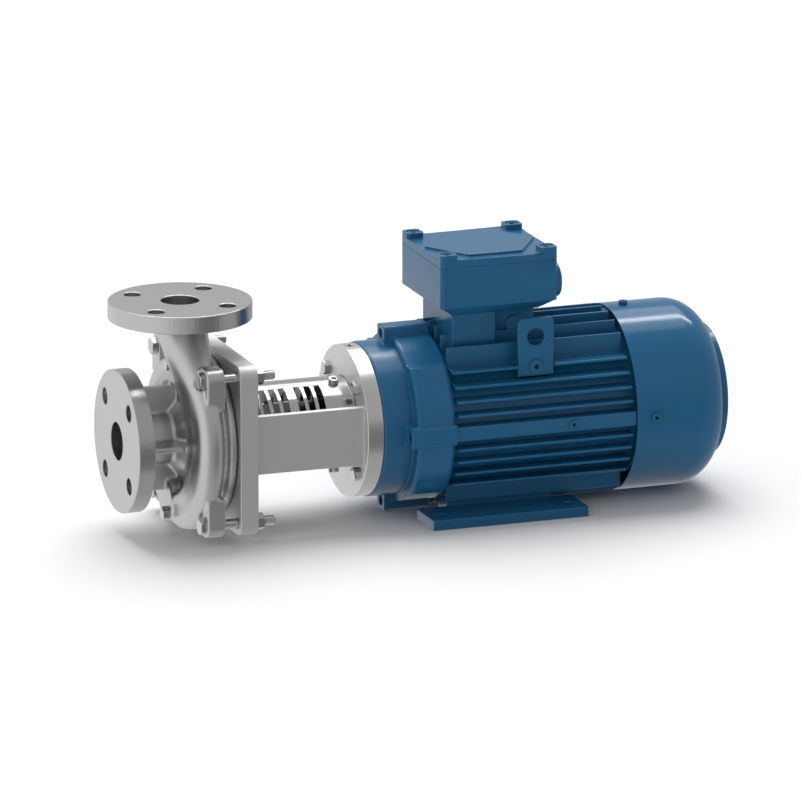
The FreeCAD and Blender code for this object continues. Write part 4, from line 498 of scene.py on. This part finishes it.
dress(("stator_winding",),
      plain_finish("varnished_copper", "#8a3f1f", "#a65630", 0.4, 0.6, 1.0))
dress(("rotor_end_rings",),
      plain_finish("cast_aluminium", "#9fa1a4", "#b2b4b6", 0.42, 1.0, 1.0))
dress(("cooling_fan",),
      plain_finish("moulded_fan_plastic", "#17191c", "#202327", 0.5, 0.0, 1.5))
dress(("terminal_block",),
      plain_finish("black_phenolic", "#141517", "#1d1e20", 0.45, 0.0, 1.0))
dress(("terminal_studs",), plain_finish("brass", "#a8894e", "#bb9c5e", 0.3, 1.0, 1.0))
dress(("shaft_vee_ring",),
      plain_finish("nitrile_rubber", "#191a1b", "#232425", 0.6, 0.0, 1.0))
finished_copy("blanking_plugs", cast_paint, 0.5)


# Studio: a plain pale floor, a soft sky that is brightest on the left, a broad diffuser
# that leans back, so the soft shadow falls in front, and two strips seen in the gloss.

floor_size = 14
floor = bmesh.new()
bmesh.ops.create_grid(floor, x_segments=1, y_segments=1, size=floor_size / 2)
floor_mesh = bpy.data.meshes.new("studio_floor")
floor.to_mesh(floor_mesh)
floor.free()
studio_floor = bpy.data.objects.new("studio_floor", floor_mesh)
bpy.context.scene.collection.objects.link(studio_floor)
paper, paper_place = new_material("white_paper_sweep")
paper_grain = add_node(paper, "ShaderNodeTexNoise", None, {
    "Vector": paper_place, "Scale": per_metre(400), "Detail": 1})
paper_colour = add_node(paper, "ShaderNodeMix", {"data_type": "RGBA"}, {
    "Factor": paper_grain.outputs["Fac"], "A": linear("#e4e4e4"), "B": linear("#e6e6e6")})
finish_material(paper, {"Base Color": paper_colour.outputs["Result"], "Roughness": 0.9,
                        "Specular IOR Level": 0.0})
floor_mesh.materials.append(paper)
studio_floor.visible_glossy = False

sky = bpy.data.worlds.new("studio_sky")
sky.use_nodes = True
sky.node_tree.nodes.clear()
view = add_node(sky, "ShaderNodeTexCoord").outputs["Generated"]
bright_side = Vector((-0.92, 0.30, -0.20)).normalized()
towards_bright = add_node(sky, "ShaderNodeVectorMath", {"operation": "DOT_PRODUCT"}, {
    0: view, 1: bright_side})
half_range = add_node(sky, "ShaderNodeMapRange", None, {
    "Value": towards_bright.outputs["Value"], "From Min": -1, "From Max": 1,
    "To Min": 0, "To Max": 1})
ramp = add_node(sky, "ShaderNodeValToRGB", None, {"Fac": half_range.outputs["Result"]})
for stop, position, colour in zip(ramp.color_ramp.elements, (0.42, 0.80), (
        (0.50, 0.50, 0.51, 1), (1.0, 1.0, 1.0, 1))):
    stop.position = position
    stop.color = colour
dark_side = Vector((0.45, -0.86, -0.24)).normalized()
towards_dark = add_node(sky, "ShaderNodeVectorMath", {"operation": "DOT_PRODUCT"}, {
    0: view, 1: dark_side})
dark_patch = add_node(sky, "ShaderNodeMapRange", {"interpolation_type": "SMOOTHSTEP"}, {
    "Value": towards_dark.outputs["Value"], "From Min": 0.88, "From Max": 0.985,
    "To Min": 0.93, "To Max": 0.40})
glow = add_node(sky, "ShaderNodeBackground", None, {
    "Color": ramp.outputs["Color"], "Strength": dark_patch.outputs["Result"]})
add_node(sky, "ShaderNodeOutputWorld", None, {"Surface": glow.outputs["Background"]})
bpy.context.scene.world = sky


def stand_light(name, light, place, way):
    """Stands a light at a place, turned to shine from the way given."""
    stand = bpy.data.objects.new(name, light)
    stand.location = place
    stand.rotation_euler = way.to_track_quat("Z", "Y").to_euler()
    bpy.context.scene.collection.objects.link(stand)
    return stand


overhead_way = Vector((0.12, 0.50, 0.86))
for name, energy, mirrored in (
        ("overhead_diffuser", 1.0, True), ("overhead_fill", 1.8, False)):
    overhead = bpy.data.lights.new(name, "SUN")
    overhead.energy = energy
    overhead.angle = math.radians(52)
    stand_light(name, overhead, Vector((0, 0, 0)), overhead_way).visible_glossy = mirrored
aim_height = 0.1
for name, place, length, width, energy in (
        ("motor_strip", Vector((0.7, 1.08, 2.25)), 3.0, 0.28, 30),
        ("pump_strip", Vector((0.1, 0, 2.45)), 1.1, 0.5, 5.5)):
    strip = bpy.data.lights.new(name, "AREA")
    strip.shape = "RECTANGLE"
    strip.size = length
    strip.size_y = width
    strip.energy = energy
    strip_way = Vector((0, place.y, place.z - aim_height))
    stand_light(name, strip, place, strip_way).visible_diffuse = False


# Camera: far off with a long lens, at the angle of the photograph, so edges that run
# side by side stay nearly parallel.

photo_width = 801
pixels_per_metre = 958.5
right = Vector((0.9411, -0.3381, 0.0))
up = Vector((0.0866, 0.2410, 0.9666))
back = right.cross(up).normalized()
up = back.cross(right).normalized()
aim = Vector((-0.0868, 0.0, 0.1157))
distance = 12.0
lens = bpy.data.cameras.new("photo_camera")
lens.sensor_width = 36
lens.lens = lens.sensor_width * distance / (photo_width / pixels_per_metre)
lens.clip_end = 100
camera = bpy.data.objects.new("photo_camera", lens)
camera.matrix_world = Matrix((
    (right.x, up.x, back.x, aim.x + back.x * distance),
    (right.y, up.y, back.y, aim.y + back.y * distance),
    (right.z, up.z, back.z, aim.z + back.z * distance),
    (0, 0, 0, 1)))
bpy.context.scene.collection.objects.link(camera)
bpy.context.scene.camera = camera
bpy.context.scene.view_settings.view_transform = "Standard"
